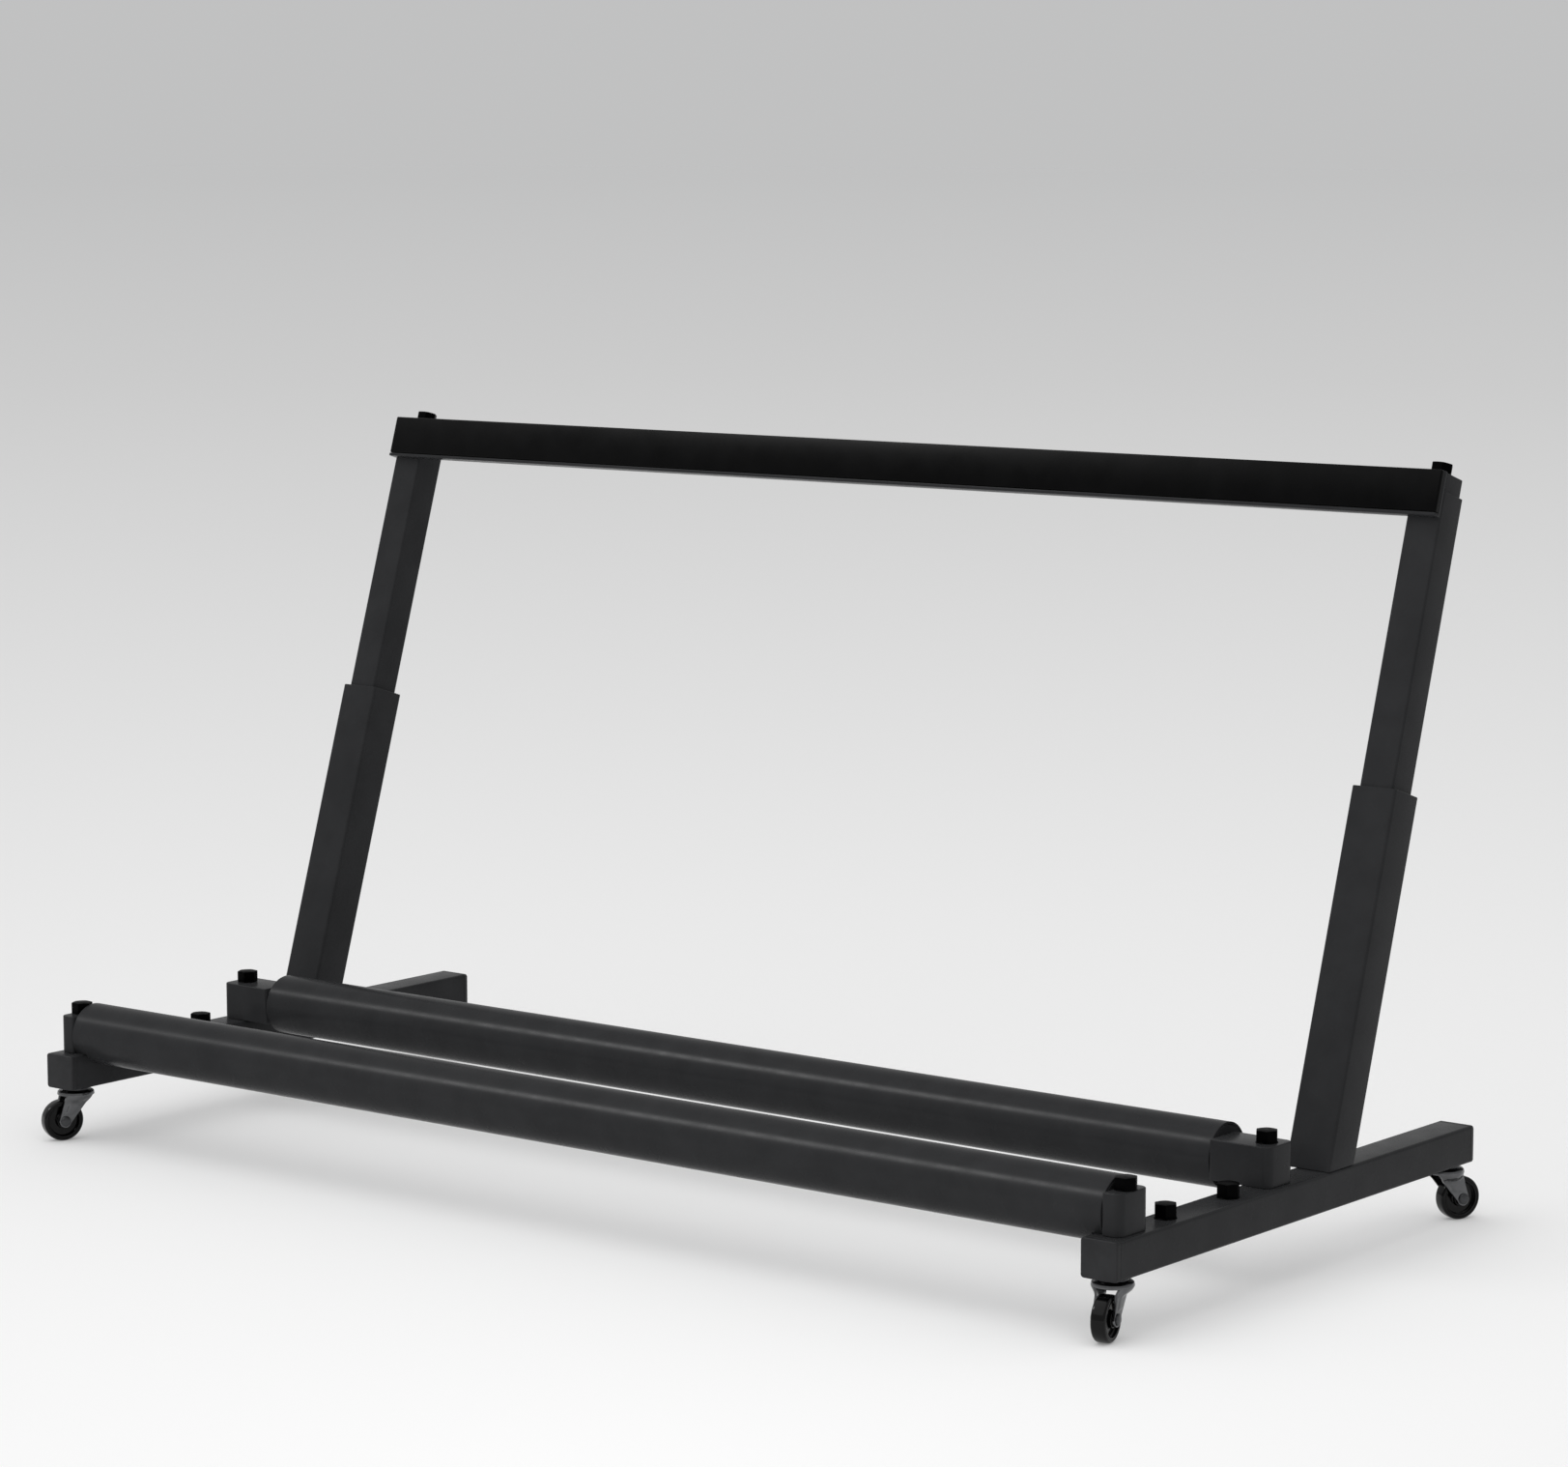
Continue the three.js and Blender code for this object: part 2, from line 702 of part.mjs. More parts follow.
/** The fixed part of one upright. */
function makeSleeve(sideName) {
  const upright = new THREE.Group();
  upright.position.x = sides[sideName] * uprightX;
  upright.add(piece(`sleeve_${sideName}`, sleeve(), 'charcoalPaint'));
  upright.add(piece(`sleeve_bush_${sideName}`, sleeveBush(), 'nylon'));
  upright.add(piece(`lock_nut_${sideName}`, lockNut(), 'steel'));
  upright.add(piece(`lock_screw_${sideName}`, lockScrew(), 'steel'));
  return upright;
}

/** The sliding part of one upright. */
function makePost(sideName) {
  const upright = new THREE.Group();
  upright.position.x = sides[sideName] * uprightX;
  upright.add(piece(`post_${sideName}`, post(), 'charcoalPaint'));
  upright.add(piece(`bar_carrier_${sideName}`, barCarrier(), 'charcoalPaint'));
  upright.add(piece(`bar_screw_${sideName}`, barScrew(), 'steel'));
  const bolt = piece(`bar_bolt_${sideName}`, cappedBolt(barBoltCapHeight, barBoltLength), 'blackPlastic');
  upright.add(placed(bolt, 0, 0, carrierTop + seat));
  return upright;
}

/** Both uprights and the padded bar, leant back on the feet. */
function makeBackrest() {
  const backrest = new THREE.Group();
  backrest.position.set(0, uprightY, footTop);
  backrest.rotation.x = -leanAngle;
  for (const sideName of Object.keys(sides)) {
    backrest.add(makeSleeve(sideName));
    backrest.add(makePost(sideName));
  }
  backrest.add(piece('top_bar', topBar(), 'charcoalPaint'));
  backrest.add(piece('bar_pad', barPad(), 'padRubber'));
  return backrest;
}

/** One caster, turned about its swivel axis. */
function makeCaster(place, sideName) {
  const caster = new THREE.Group();
  const end = place === 'front' ? -1 : 1;
  const key = `${place}_${sideName}`;
  caster.position.set(sides[sideName] * footCentreX, end * (footLength / 2 - casterInset), clearUnderFoot);
  caster.rotation.z = casterTurns[key];
  caster.add(piece(`caster_stem_${key}`, casterStem(), 'steel'));
  caster.add(piece(`caster_fork_${key}`, casterFork(), 'zincPlate'));
  caster.add(piece(`caster_axle_${key}`, casterAxle(), 'steel'));
  caster.add(piece(`caster_wheel_${key}`, casterWheel(), 'wheelRubber'));
  return caster;
}

const stand = new THREE.Group();
for (const sideName of Object.keys(sides)) {
  stand.add(makeFoot(sideName));
  stand.add(makeBrackets(sideName));
  for (const place of ['front', 'rear']) {
    stand.add(makeCaster(place, sideName));
  }
}
stand.add(makeRails());
stand.add(makeBackrest());

export default stand;
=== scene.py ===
"""Looks of the rolling stand: two feet on casters, two round rails and a padded bar on leaning uprights.

Metres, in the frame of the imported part: X along the rails, Y from front to back, Z up from the floor.
"""

import logging
import math
from dataclasses import dataclass, field
from enum import Enum
from typing import Callable, Sequence

import bmesh
import bpy
from mathutils import Matrix, Vector


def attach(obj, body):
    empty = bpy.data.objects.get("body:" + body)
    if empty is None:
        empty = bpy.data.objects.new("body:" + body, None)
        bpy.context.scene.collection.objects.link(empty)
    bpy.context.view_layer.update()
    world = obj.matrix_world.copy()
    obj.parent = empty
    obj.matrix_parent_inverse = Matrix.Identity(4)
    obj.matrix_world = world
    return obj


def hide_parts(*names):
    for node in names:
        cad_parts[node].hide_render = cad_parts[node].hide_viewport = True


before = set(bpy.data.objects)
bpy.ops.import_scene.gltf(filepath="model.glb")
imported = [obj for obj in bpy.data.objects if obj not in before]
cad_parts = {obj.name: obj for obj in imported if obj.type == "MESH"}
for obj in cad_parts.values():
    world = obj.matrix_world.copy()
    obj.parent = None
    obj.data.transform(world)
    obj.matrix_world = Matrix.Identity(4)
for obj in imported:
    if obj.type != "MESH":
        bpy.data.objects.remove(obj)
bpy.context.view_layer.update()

logging.basicConfig(level=logging.INFO, format="%(levelname)s %(message)s")
LOG = logging.getLogger("stand")

Point = tuple[float, float]
Spot = tuple[float, float, float]
Pair = tuple[float, float]
Triple = tuple[float, float, float]
Colour = tuple[float, float, float]
Ring = list[Vector]

# The gap between pieces that touch, and the size of an edge that is only broken.
SEAT = 0.0003
BROKEN_EDGE = 0.0003
# Faces in a rounded edge and in a rounded corner.
EDGE_STEPS = 4
CORNER_STEPS = 6
# Edges that turn by more degrees than this stay sharp in the shading.
SHARP_TURN = 32.0
# A smaller radius than this lies on the axis.
NO_RADIUS = 1e-7
# Most of a noise pattern lies between these values.
NOISE_BAND = (0.3, 0.7)


class Side(Enum):
    """The two ends of the stand, seen from its front."""

    LEFT = "left"
    RIGHT = "right"

    @property
    def sign(self) -> int:
        """Which way along X this side lies."""
        return 1 if self is Side.RIGHT else -1


class End(Enum):
    """The two ends of a foot."""

    FRONT = "front"
    REAR = "rear"

    @property
    def sign(self) -> int:
        """Which way along Y this end lies."""
        return 1 if self is End.REAR else -1


# Shapes


def on_circle(radius: float, turn: float) -> Point:
    """Gives the point of a circle at an angle in radians."""
    return radius * math.cos(turn), radius * math.sin(turn)


def rounded_rectangle(width: float, height: float, radius: float, steps: int = CORNER_STEPS) -> list[Point]:
    """Gives the outline of a rectangle with round corners, centred on the origin.

    Args:
        width: Size along the first axis.
        height: Size along the second axis.
        radius: Radius of the corners.
        steps: Number of edges in each corner.

    Returns:
        Points in turning order from the first axis to the second.
    """
    outline = []
    for corner, (sx, sy) in enumerate(((1, 1), (-1, 1), (-1, -1), (1, -1))):
        for step in range(steps + 1):
            x, y = on_circle(radius, (corner + step / steps) * math.pi / 2)
            outline.append((sx * (width / 2 - radius) + x, sy * (height / 2 - radius) + y))
    return outline


def rounded_edge(radius: float) -> list[Point]:
    """Gives the steps of a rounded edge, from the side to the end.

    Args:
        radius: Radius of the edge.

    Returns:
        The inset from the side and the drop from the end, at each step.
    """
    turns = [step / EDGE_STEPS * math.pi / 2 for step in range(EDGE_STEPS + 1)]
    return [(radius * (1 - math.cos(turn)), radius * (1 - math.sin(turn))) for turn in turns]


def smooth(share: float) -> float:
    """Eases a share from nothing to the whole."""
    share = min(max(share, 0.0), 1.0)
    return share * share * (3 - 2 * share)


def ring_at(outline: Sequence[Point], height: float) -> Ring:
    """Lifts an outline to a height."""
    return [Vector((x, y, height)) for x, y in outline]


def placing(spot: Sequence[float], turn: float, axis: str) -> Matrix:
    """Gives the place of a piece that is turned about an axis and then moved to a spot."""
    return Matrix.Translation(spot) @ Matrix.Rotation(turn, 4, axis)


def put(name: str, data: bpy.types.ID) -> bpy.types.Object:
    """Puts a new object into the scene.

    Args:
        name: Name of the object.
        data: Its mesh, light or camera.

    Returns:
        The object, at the origin.
    """
    made = bpy.data.objects.new(name, data)
    bpy.context.scene.collection.objects.link(made)
    return made


def shade(data: bpy.types.Mesh, angle: float) -> None:
    """Shades a mesh smoothly, apart from edges that turn by more than an angle in degrees."""
    data.shade_smooth()
    data.set_sharp_from_angle(angle=math.radians(angle))


@dataclass
class Blank:
    """A mesh in the making, out of closed shells that are each placed by a matrix."""

    mesh: bmesh.types.BMesh = field(default_factory=bmesh.new)

    def skin(self, rings: Sequence[Ring], loop: bool = False) -> "Blank":
        """Spans faces between rings of equal length.

        Args:
            rings: The rings, in order.
            loop: Joins the last ring to the first, else both ends are filled.

        Returns:
            This blank.
        """
        rows = [[self.mesh.verts.new(point) for point in ring] for ring in rings]
        pairs = list(zip(rows, rows[1:])) + ([(rows[-1], rows[0])] if loop else [])
        for low, high in pairs:
            for i in range(len(low)):
                j = (i + 1) % len(low)
                self.mesh.faces.new((low[i], low[j], high[j], high[i]))
        if not loop:
            self.mesh.faces.new(rows[0])
            self.mesh.faces.new(rows[-1])
        return self

    def turned(self, profile: Sequence[Point], steps: int) -> "Blank":
        """Turns a profile about the Z axis.

        Args:
            profile: Points of radius and height. It starts and ends on the axis, or else closes on itself.
            steps: Number of faces round the axis.

        Returns:
            This blank.
        """
        rows = []
        for radius, height in profile:
            count = 1 if radius < NO_RADIUS else steps
            rows.append([
                self.mesh.verts.new((*on_circle(radius, 2 * math.pi * i / steps), height))
                for i in range(count)
            ])
        pairs = list(zip(rows, rows[1:]))
        if len(rows[0]) > 1:
            pairs.append((rows[-1], rows[0]))
        for low, high in pairs:
            for i in range(steps):
                j = (i + 1) % steps
                below = [low[i], low[j]] if len(low) > 1 else [low[0]]
                above = [high[j], high[i]] if len(high) > 1 else [high[0]]
                self.mesh.faces.new(below + above)
        return self

    def prism(self, outline: Sequence[Point], low: float, high: float, edge: float = 0.0) -> "Blank":
        """Draws an outline out along Z and rounds the edges of its sharp turns.

        Args:
            outline: The outline, in turning order.
            low: Height of the lower end.
            high: Height of the upper end.
            edge: Radius of the rounded edges, or nothing.

        Returns:
            This blank.
        """
        part = Blank().skin([ring_at(outline, low), ring_at(outline, high)])
        if edge:
            part.soften(edge)
        return self.add(part)

    def soften(self, edge: float, segments: int = 3, angle: float = 40.0) -> "Blank":
        """Rounds every edge that turns by more than an angle.

        Args:
            edge: Radius of the rounding.
            segments: Number of faces across it.
            angle: The angle in degrees.

        Returns:
            This blank.
        """
        bmesh.ops.recalc_face_normals(self.mesh, faces=self.mesh.faces)
        limit = math.radians(angle)
        sharp = [e for e in self.mesh.edges if len(e.link_faces) == 2 and e.calc_face_angle() > limit]
        bmesh.ops.bevel(
            self.mesh, geom=sharp, offset=edge, segments=segments, profile=0.5, affect="EDGES",
            clamp_overlap=True,
        )
        return self

    def cut(self, point: Sequence[float], normal: Sequence[float]) -> "Blank":
        """Takes off what lies on one side of a plane, and closes the cut.

        Args:
            point: A point of the plane.
            normal: Points to the side that is taken off.

        Returns:
            This blank.
        """
        whole = list(self.mesh.verts) + list(self.mesh.edges) + list(self.mesh.faces)
        result = bmesh.ops.bisect_plane(
            self.mesh, geom=whole, plane_co=point, plane_no=normal, clear_outer=True,
        )
        rim = [item for item in result["geom_cut"] if isinstance(item, bmesh.types.BMEdge)]
        bmesh.ops.contextual_create(self.mesh, geom=rim)
        return self

    def add(self, other: "Blank", place: Matrix | None = None) -> "Blank":
        """Adds another blank and uses it up.

        Args:
            other: The other blank.
            place: Its place, where it isn't drawn in place.

        Returns:
            This blank.
        """
        if place is not None:
            bmesh.ops.transform(other.mesh, matrix=place, verts=other.mesh.verts)
        spare = bpy.data.meshes.new("spare")
        other.mesh.to_mesh(spare)
        self.mesh.from_mesh(spare)
        bpy.data.meshes.remove(spare)
        other.mesh.free()
        return self

    def finish(self, name: str, coat: bpy.types.Material, angle: float = SHARP_TURN) -> bpy.types.Object:
        """Turns the blank into a named object at the origin.

        Args:
            name: Name of the piece.
            coat: Its material.
            angle: Edges that turn by more degrees than this stay sharp.

        Returns:
            The object, with outward faces.
        """
        bmesh.ops.recalc_face_normals(self.mesh, faces=self.mesh.faces)
        data = bpy.data.meshes.new(name)
        self.mesh.to_mesh(data)
        self.mesh.free()
        shade(data, angle)
        data.materials.append(coat)
        return put(name, data)


def box_tube(
    width: float, depth: float, corner: float, wall: float, low: Callable[[float], float], high: float,
    edge: float = BROKEN_EDGE,
) -> Blank:
    """Makes a rectangular tube about the Z axis, with its end edges broken.

    Args:
        width: Size along X.
        depth: Size along Y.
        corner: Radius of the outer corners.
        wall: Thickness of the wall.
        low: Gives the height of the lower end at a value of Y.
        high: Height of the upper end.
        edge: Size of the broken edges.

    Returns:
        The blank with the tube in it.
    """
    inner_corner = max(corner - wall, wall / 2)
    outer = rounded_rectangle(width, depth, corner)
    outer_in = rounded_rectangle(width - 2 * edge, depth - 2 * edge, corner - edge)
    inner = rounded_rectangle(width - 2 * wall, depth - 2 * wall, inner_corner)
    inner_out = rounded_rectangle(width - 2 * (wall - edge), depth - 2 * (wall - edge), inner_corner + edge)

    def foot(outline: Sequence[Point], lift: float) -> Ring:
        """Places an outline on the lower end."""
        return [Vector((x, y, low(y) + lift)) for x, y in outline]

    return Blank().skin([
        foot(outer, edge), foot(outer_in, 0), foot(inner_out, 0), foot(inner, edge),
        ring_at(inner, high - edge), ring_at(inner_out, high),
        ring_at(outer_in, high), ring_at(outer, high - edge),
    ], loop=True)


# Finishes


class Shader:
    """A material with one principled shader, whose patterns lie on the object's coordinates."""

    def __init__(self, name: str) -> None:
        """Starts the material.

        Args:
            name: Name of the material.
        """
        self.material = bpy.data.materials.new(name)
        self.material.use_nodes = True
        self.tree = self.material.node_tree
        self.tree.nodes.clear()
        self.output = self.node("ShaderNodeOutputMaterial")
        self.surface = self.node("ShaderNodeBsdfPrincipled")
        self.link(self.surface, "BSDF", self.output, "Surface")
        self.place = self.node("ShaderNodeTexCoord")

    def node(self, kind: str, **settings: object) -> bpy.types.Node:
        """Adds a node.

        Args:
            kind: Type of the node.
            **settings: Its properties, and its sockets where no property has the name.

        Returns:
            The node.
        """
        made = self.tree.nodes.new(kind)
        for name, value in settings.items():
            if hasattr(made, name):
                setattr(made, name, value)
            else:
                made.inputs[name.replace("_", " ").title()].default_value = value
        return made

    def link(self, source: bpy.types.Node, out: str | int, target: bpy.types.Node, into: str | int) -> None:
        """Joins an output to an input."""
        self.tree.links.new(source.outputs[out], target.inputs[into])

    def noise(self, scale: float, detail: float, stretch: Triple = (1.0, 1.0, 1.0)) -> bpy.types.Node:
        """Adds a noise on the object's coordinates.

        Args:
            scale: Cells a metre.
            detail: Finer layers of the noise.
            stretch: Factors on the scale along X, Y and Z.

        Returns:
            The noise node.
        """
        mapping = self.node("ShaderNodeMapping")
        mapping.inputs["Scale"].default_value = stretch
        self.link(self.place, "Object", mapping, "Vector")
        texture = self.node("ShaderNodeTexNoise", scale=scale, detail=detail)
        self.link(mapping, "Vector", texture, "Vector")
        return texture

    def ramp(self, source: bpy.types.Node, out: str, stops: Sequence[tuple[float, Colour]]) -> bpy.types.Node:
        """Adds a colour ramp.

        Args:
            source: The node that it reads.
            out: That node's output.
            stops: Places from 0 to 1, each with its colour.

        Returns:
            The ramp node.
        """
        ramp = self.node("ShaderNodeValToRGB")
        bar = ramp.color_ramp.elements
        while len(bar) < len(stops):
            bar.new(0.5)
        for element, (position, colour) in zip(bar, stops):
            element.position = position
            element.color = (*colour, 1.0)
        self.link(source, out, ramp, "Fac")
        return ramp

    def bump(
        self, source: bpy.types.Node, out: str, depth: float, under: bpy.types.Node | None = None,
    ) -> bpy.types.Node:
        """Adds a bump.

        Args:
            source: The node whose pattern it follows.
            out: That node's output.
            depth: Depth in metres.
            under: A bump that this one lies on.

        Returns:
            The bump node.
        """
        bump = self.node("ShaderNodeBump")
        bump.inputs["Strength"].default_value = 1.0
        bump.inputs["Distance"].default_value = depth
        self.link(source, out, bump, "Height")
        if under is not None:
            self.link(under, "Normal", bump, "Normal")
        return bump

    def colour(self, pattern: bpy.types.Node, tint: Colour, band: Pair, factors: Pair) -> None:
        """Lets the colour follow a noise.

        Args:
            pattern: The noise node.
            tint: The finish's colour.
            band: The part of the noise over which the colour changes.
            factors: Factors on the tint at the two ends of the band.
        """
        stops = [(at, tuple(factor * value for value in tint)) for at, factor in zip(band, factors)]
        self.link(self.ramp(pattern, "Fac", stops), "Color", self.surface, "Base Color")

    def gloss(self, pattern: bpy.types.Node, roughness: float, factors: Pair) -> None:
        """Lets the roughness follow a noise.

        Args:
            pattern: The noise node.
            roughness: The finish's roughness.
            factors: Factors on the roughness where the noise is low and where it is high.
        """
        spread = self.node("ShaderNodeMapRange")
        for name, value in zip(("From Min", "From Max"), NOISE_BAND):
            spread.inputs[name].default_value = value
        for name, factor in zip(("To Min", "To Max"), factors):
            spread.inputs[name].default_value = factor * roughness
        self.link(pattern, "Fac", spread, "Value")
        self.link(spread, "Result", self.surface, "Roughness")

    def skin(self, relief: bpy.types.Node) -> None:
        """Gives the surface a bump."""
        self.link(relief, "Normal", self.surface, "Normal")

    def set(self, **values: float) -> None:
        """Sets the shader's own sockets."""
        for name, value in values.items():
            self.surface.inputs[name.replace("_", " ").title().replace("Ior", "IOR")].default_value = value


@dataclass(frozen=True)
class PowderCoat:
    """Baked powder paint on steel tube: a fine pebbled skin with faint mottling and handling marks."""

    name: str = "charcoal_powder_coat"
    tint: Colour = (0.0258, 0.0262, 0.0275)
    roughness: float = 0.25
    sheen_level: float = 0.045
    mottle_scale: float = 38.0
    mottle_band: Pair = (0.35, 0.65)
    mottle: Pair = (0.92, 1.08)
    rub_scale: float = 60.0
    rub: Pair = (0.88, 1.2)
    pebble_scale: float = 1100.0
    pebble_depth: float = 0.000012

    def build(self) -> bpy.types.Material:
        """Builds the material.

        Returns:
            The material.
        """
        shader = Shader(self.name)
        shader.colour(shader.noise(self.mottle_scale, detail=6.0), self.tint, self.mottle_band, self.mottle)
        shader.gloss(shader.noise(self.rub_scale, detail=6.0), self.roughness, self.rub)
        shader.skin(shader.bump(shader.noise(self.pebble_scale, detail=2.0), "Fac", self.pebble_depth))
        shader.set(specular_ior_level=self.sheen_level)
        return shader.material


@dataclass(frozen=True)
class MouldedPlastic:
    """Black moulded plastic, glossy or spark-eroded matt."""

    name: str
    tint: Colour
    roughness: float
    sheen_level: float
    grain_scale: float
    grain_depth: float
    cloud_scale: float = 70.0
    cloud_band: Pair = (0.35, 0.7)
    clouds: Pair = (1.0, 1.35)
    smear_scale: float = 220.0
    smears: Pair = (0.8, 1.25)

    def build(self) -> bpy.types.Material:
        """Builds the material.

        Returns:
            The material.
        """
        shader = Shader(self.name)
        shader.colour(shader.noise(self.cloud_scale, detail=4.0), self.tint, self.cloud_band, self.clouds)
        shader.gloss(shader.noise(self.smear_scale, detail=5.0), self.roughness, self.smears)
        shader.skin(shader.bump(shader.noise(self.grain_scale, detail=3.0), "Fac", self.grain_depth))
        shader.set(specular_ior_level=self.sheen_level)
        return shader.material


@dataclass(frozen=True)
class SheetRubber:
    """Dense black rubber with a faint calender grain."""

    name: str
    tint: Colour
    roughness: float
    sheen_level: float
    grain_scale: float
    grain_depth: float
    stretch: Triple = (1.0, 1.0, 1.0)
    cell_share: float = 0.8
    dust_scale: float = 35.0
    dust_band: Pair = (0.4, 0.75)
    dust: Pair = (1.0, 1.6)
    wear: Pair = (0.85, 1.2)

    def build(self) -> bpy.types.Material:
        """Builds the material.

        Returns:
            The material.
        """
        shader = Shader(self.name)
        dust = shader.noise(self.dust_scale, detail=6.0)
        shader.colour(dust, self.tint, self.dust_band, self.dust)
        shader.gloss(dust, self.roughness, self.wear)
        cells = shader.node("ShaderNodeTexVoronoi", feature="DISTANCE_TO_EDGE")
        cells.inputs["Scale"].default_value = self.grain_scale * self.cell_share
        shader.link(shader.place, "Object", cells, "Vector")
        coarse = shader.bump(cells, "Distance", self.grain_depth)
        grain = shader.noise(self.grain_scale, 4.0, self.stretch)
        shader.skin(shader.bump(grain, "Fac", self.grain_depth, coarse))
        shader.set(specular_ior_level=self.sheen_level)
        return shader.material


@dataclass(frozen=True)
class PlatedSteel:
    """Bare or zinc-plated steel with rolled streaks and cloudy plating."""

    name: str
    tint: Colour
    roughness: float
    streak: Triple
    cloud_scale: float = 160.0
    cloud_band: Pair = (0.3, 0.65)
    clouds: Pair = (0.8, 1.0)
    streak_scale: float = 500.0
    streak_depth: float = 0.000012
    streak_gloss: Pair = (0.8, 1.3)

    def build(self) -> bpy.types.Material:
        """Builds the material.

        Returns:
            The material.
        """
        shader = Shader(self.name)
        shader.colour(shader.noise(self.cloud_scale, detail=5.0), self.tint, self.cloud_band, self.clouds)
        streaks = shader.noise(self.streak_scale, 4.0, self.streak)
        shader.gloss(streaks, self.roughness, self.streak_gloss)
        shader.skin(shader.bump(streaks, "Fac", self.streak_depth))
        shader.set(metallic=1.0)
        return shader.material


@dataclass
class Wardrobe:
    """The stand's finishes, each built once."""

    paint: bpy.types.Material = field(default_factory=PowderCoat().build)
    cap: bpy.types.Material = field(default_factory=MouldedPlastic(
        name="gloss_black_bolt_cap", tint=(0.0006, 0.0006, 0.0007), roughness=0.36, sheen_level=0.02,
        grain_scale=1500.0, grain_depth=0.000006,
    ).build)
    plug: bpy.types.Material = field(default_factory=MouldedPlastic(
        name="matt_black_end_cap", tint=(0.021, 0.0213, 0.0225), roughness=0.42, sheen_level=0.1,
        grain_scale=1400.0, grain_depth=0.000015,
    ).build)
    nylon: bpy.types.Material = field(default_factory=MouldedPlastic(
        name="dark_nylon_bush", tint=(0.012, 0.012, 0.013), roughness=0.42, sheen_level=0.3,
        grain_scale=900.0, grain_depth=0.00002,
    ).build)
    pad: bpy.types.Material = field(default_factory=SheetRubber(
        name="face_pad_rubber", tint=(0.0012, 0.0012, 0.0013), roughness=0.3, sheen_level=0.06,
        grain_scale=700.0, grain_depth=0.00002, stretch=(1.0, 1.0, 0.6),
    ).build)
    tyre: bpy.types.Material = field(default_factory=SheetRubber(
        name="caster_tread_rubber", tint=(0.0012, 0.0012, 0.0013), roughness=0.15, sheen_level=0.2,
        grain_scale=500.0, grain_depth=0.000006,
    ).build)
    zinc: bpy.types.Material = field(default_factory=PlatedSteel(
        name="bright_zinc_plate", tint=(0.13, 0.132, 0.136), roughness=0.2, streak=(1.0, 1.0, 0.15),
    ).build)
    steel: bpy.types.Material = field(default_factory=PlatedSteel(
        name="plain_steel", tint=(0.07, 0.0715, 0.0745), roughness=0.3, streak=(0.15, 1.0, 1.0),
    ).build)


def register(piece: bpy.types.Object, body: str, slot: str, *nodes: str) -> None:
    """Hangs a piece on a body and reports it.

    Args:
        piece: The piece.
        body: The body that carries it.
        slot: The record's material slot. It is not used.
        *nodes: The CAD nodes that it stands for.
    """
    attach(piece, body)
    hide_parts(*nodes)
    LOG.info("%s rides on %s for %s", piece.name, body, ", ".join(nodes))


def dress(coat: bpy.types.Material, name: str) -> None:
    """Gives a carried CAD node a material and reports it.

    Args:
        coat: The material.
        name: Name of the node.
    """
    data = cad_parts[name].data
    data.materials.clear()
    data.materials.append(coat)
    LOG.info("%s keeps its own mesh with %s", name, coat.name)


# Stand


@dataclass
class Foot:
    """A foot: a rectangular tube with an end cap at each end."""

    side: Side
    stand_width: float = 1.045
    length: float = 0.470
    width: float = 0.030
    height: float = 0.028
    under: float = 0.043
    corner: float = 0.0025
    wall: float = 0.002
    flange: float = 0.004
    cap_edge: float = 0.0009
    cap_corner_share: float = 0.8
    plug_length: float = 0.033
    plug_entry: float = 0.0005

    @property
    def centre_x(self) -> float:
        """Where the foot's middle lies along X."""
        return self.side.sign * (self.stand_width - self.width) / 2

    @property
    def top(self) -> float:
        """Height of the foot's top."""
        return self.under + self.height

    def beam(self) -> Blank:
        """Makes the tube.

        Returns:
            The tube in its place.
        """
        half = self.length / 2 - self.flange - SEAT
        tube = box_tube(self.width, self.height, self.corner, self.wall, lambda _: -half, half)
        return Blank().add(tube, placing((self.centre_x, 0, self.under + self.height / 2), math.pi / 2, "X"))

    def cap(self, end: End) -> Blank:
        """Makes an end cap, with a rounded face and the plug behind it.

        Args:
            end: The end that it closes.

        Returns:
            The cap in its place.
        """
        rows = []
        for rise, inset in rounded_edge(self.cap_edge):
            size = (self.width - 2 * inset, self.height - 2 * inset)
            corner = self.corner - inset * self.cap_corner_share
            rows.append(ring_at(rounded_rectangle(*size, corner), rise))
        rows.append(ring_at(rounded_rectangle(self.width, self.height, self.corner), self.flange))
        part = Blank().skin(rows)
        gap = 2 * (self.wall + SEAT)
        plug = rounded_rectangle(self.width - gap, self.height - gap, self.wall / 2)
        part.add(Blank().prism(plug, self.flange - self.plug_entry, self.plug_length))
        spot = (self.centre_x, end.sign * self.length / 2, self.under + self.height / 2)
        return Blank().add(part, placing(spot, end.sign * math.pi / 2, "X"))

    def build(self, coats: Wardrobe) -> None:
        """Builds and dresses the foot.

        Args:
            coats: The finishes.
        """
        key = self.side.value
        beam = self.beam().finish(f"foot_tube_{key}", coats.paint)
        register(beam, "base", "charcoal_paint", f"foot_beam_{key}")
        for end in End:
            cap = self.cap(end).finish(f"end_cap_{end.value}_{key}", coats.plug)
            register(cap, "base", "dark_plastic", f"foot_cap_{end.value}_{key}")
        dress(coats.steel, f"nut_strip_{key}")


@dataclass(frozen=True)
class BracketForm:
    """One end's bracket: its width and depth, its place from the foot's end, and the rail and bolt in it."""

    width: float
    depth: float
    place: float
    rail: float
    bolt: float
    bolt_inset: float


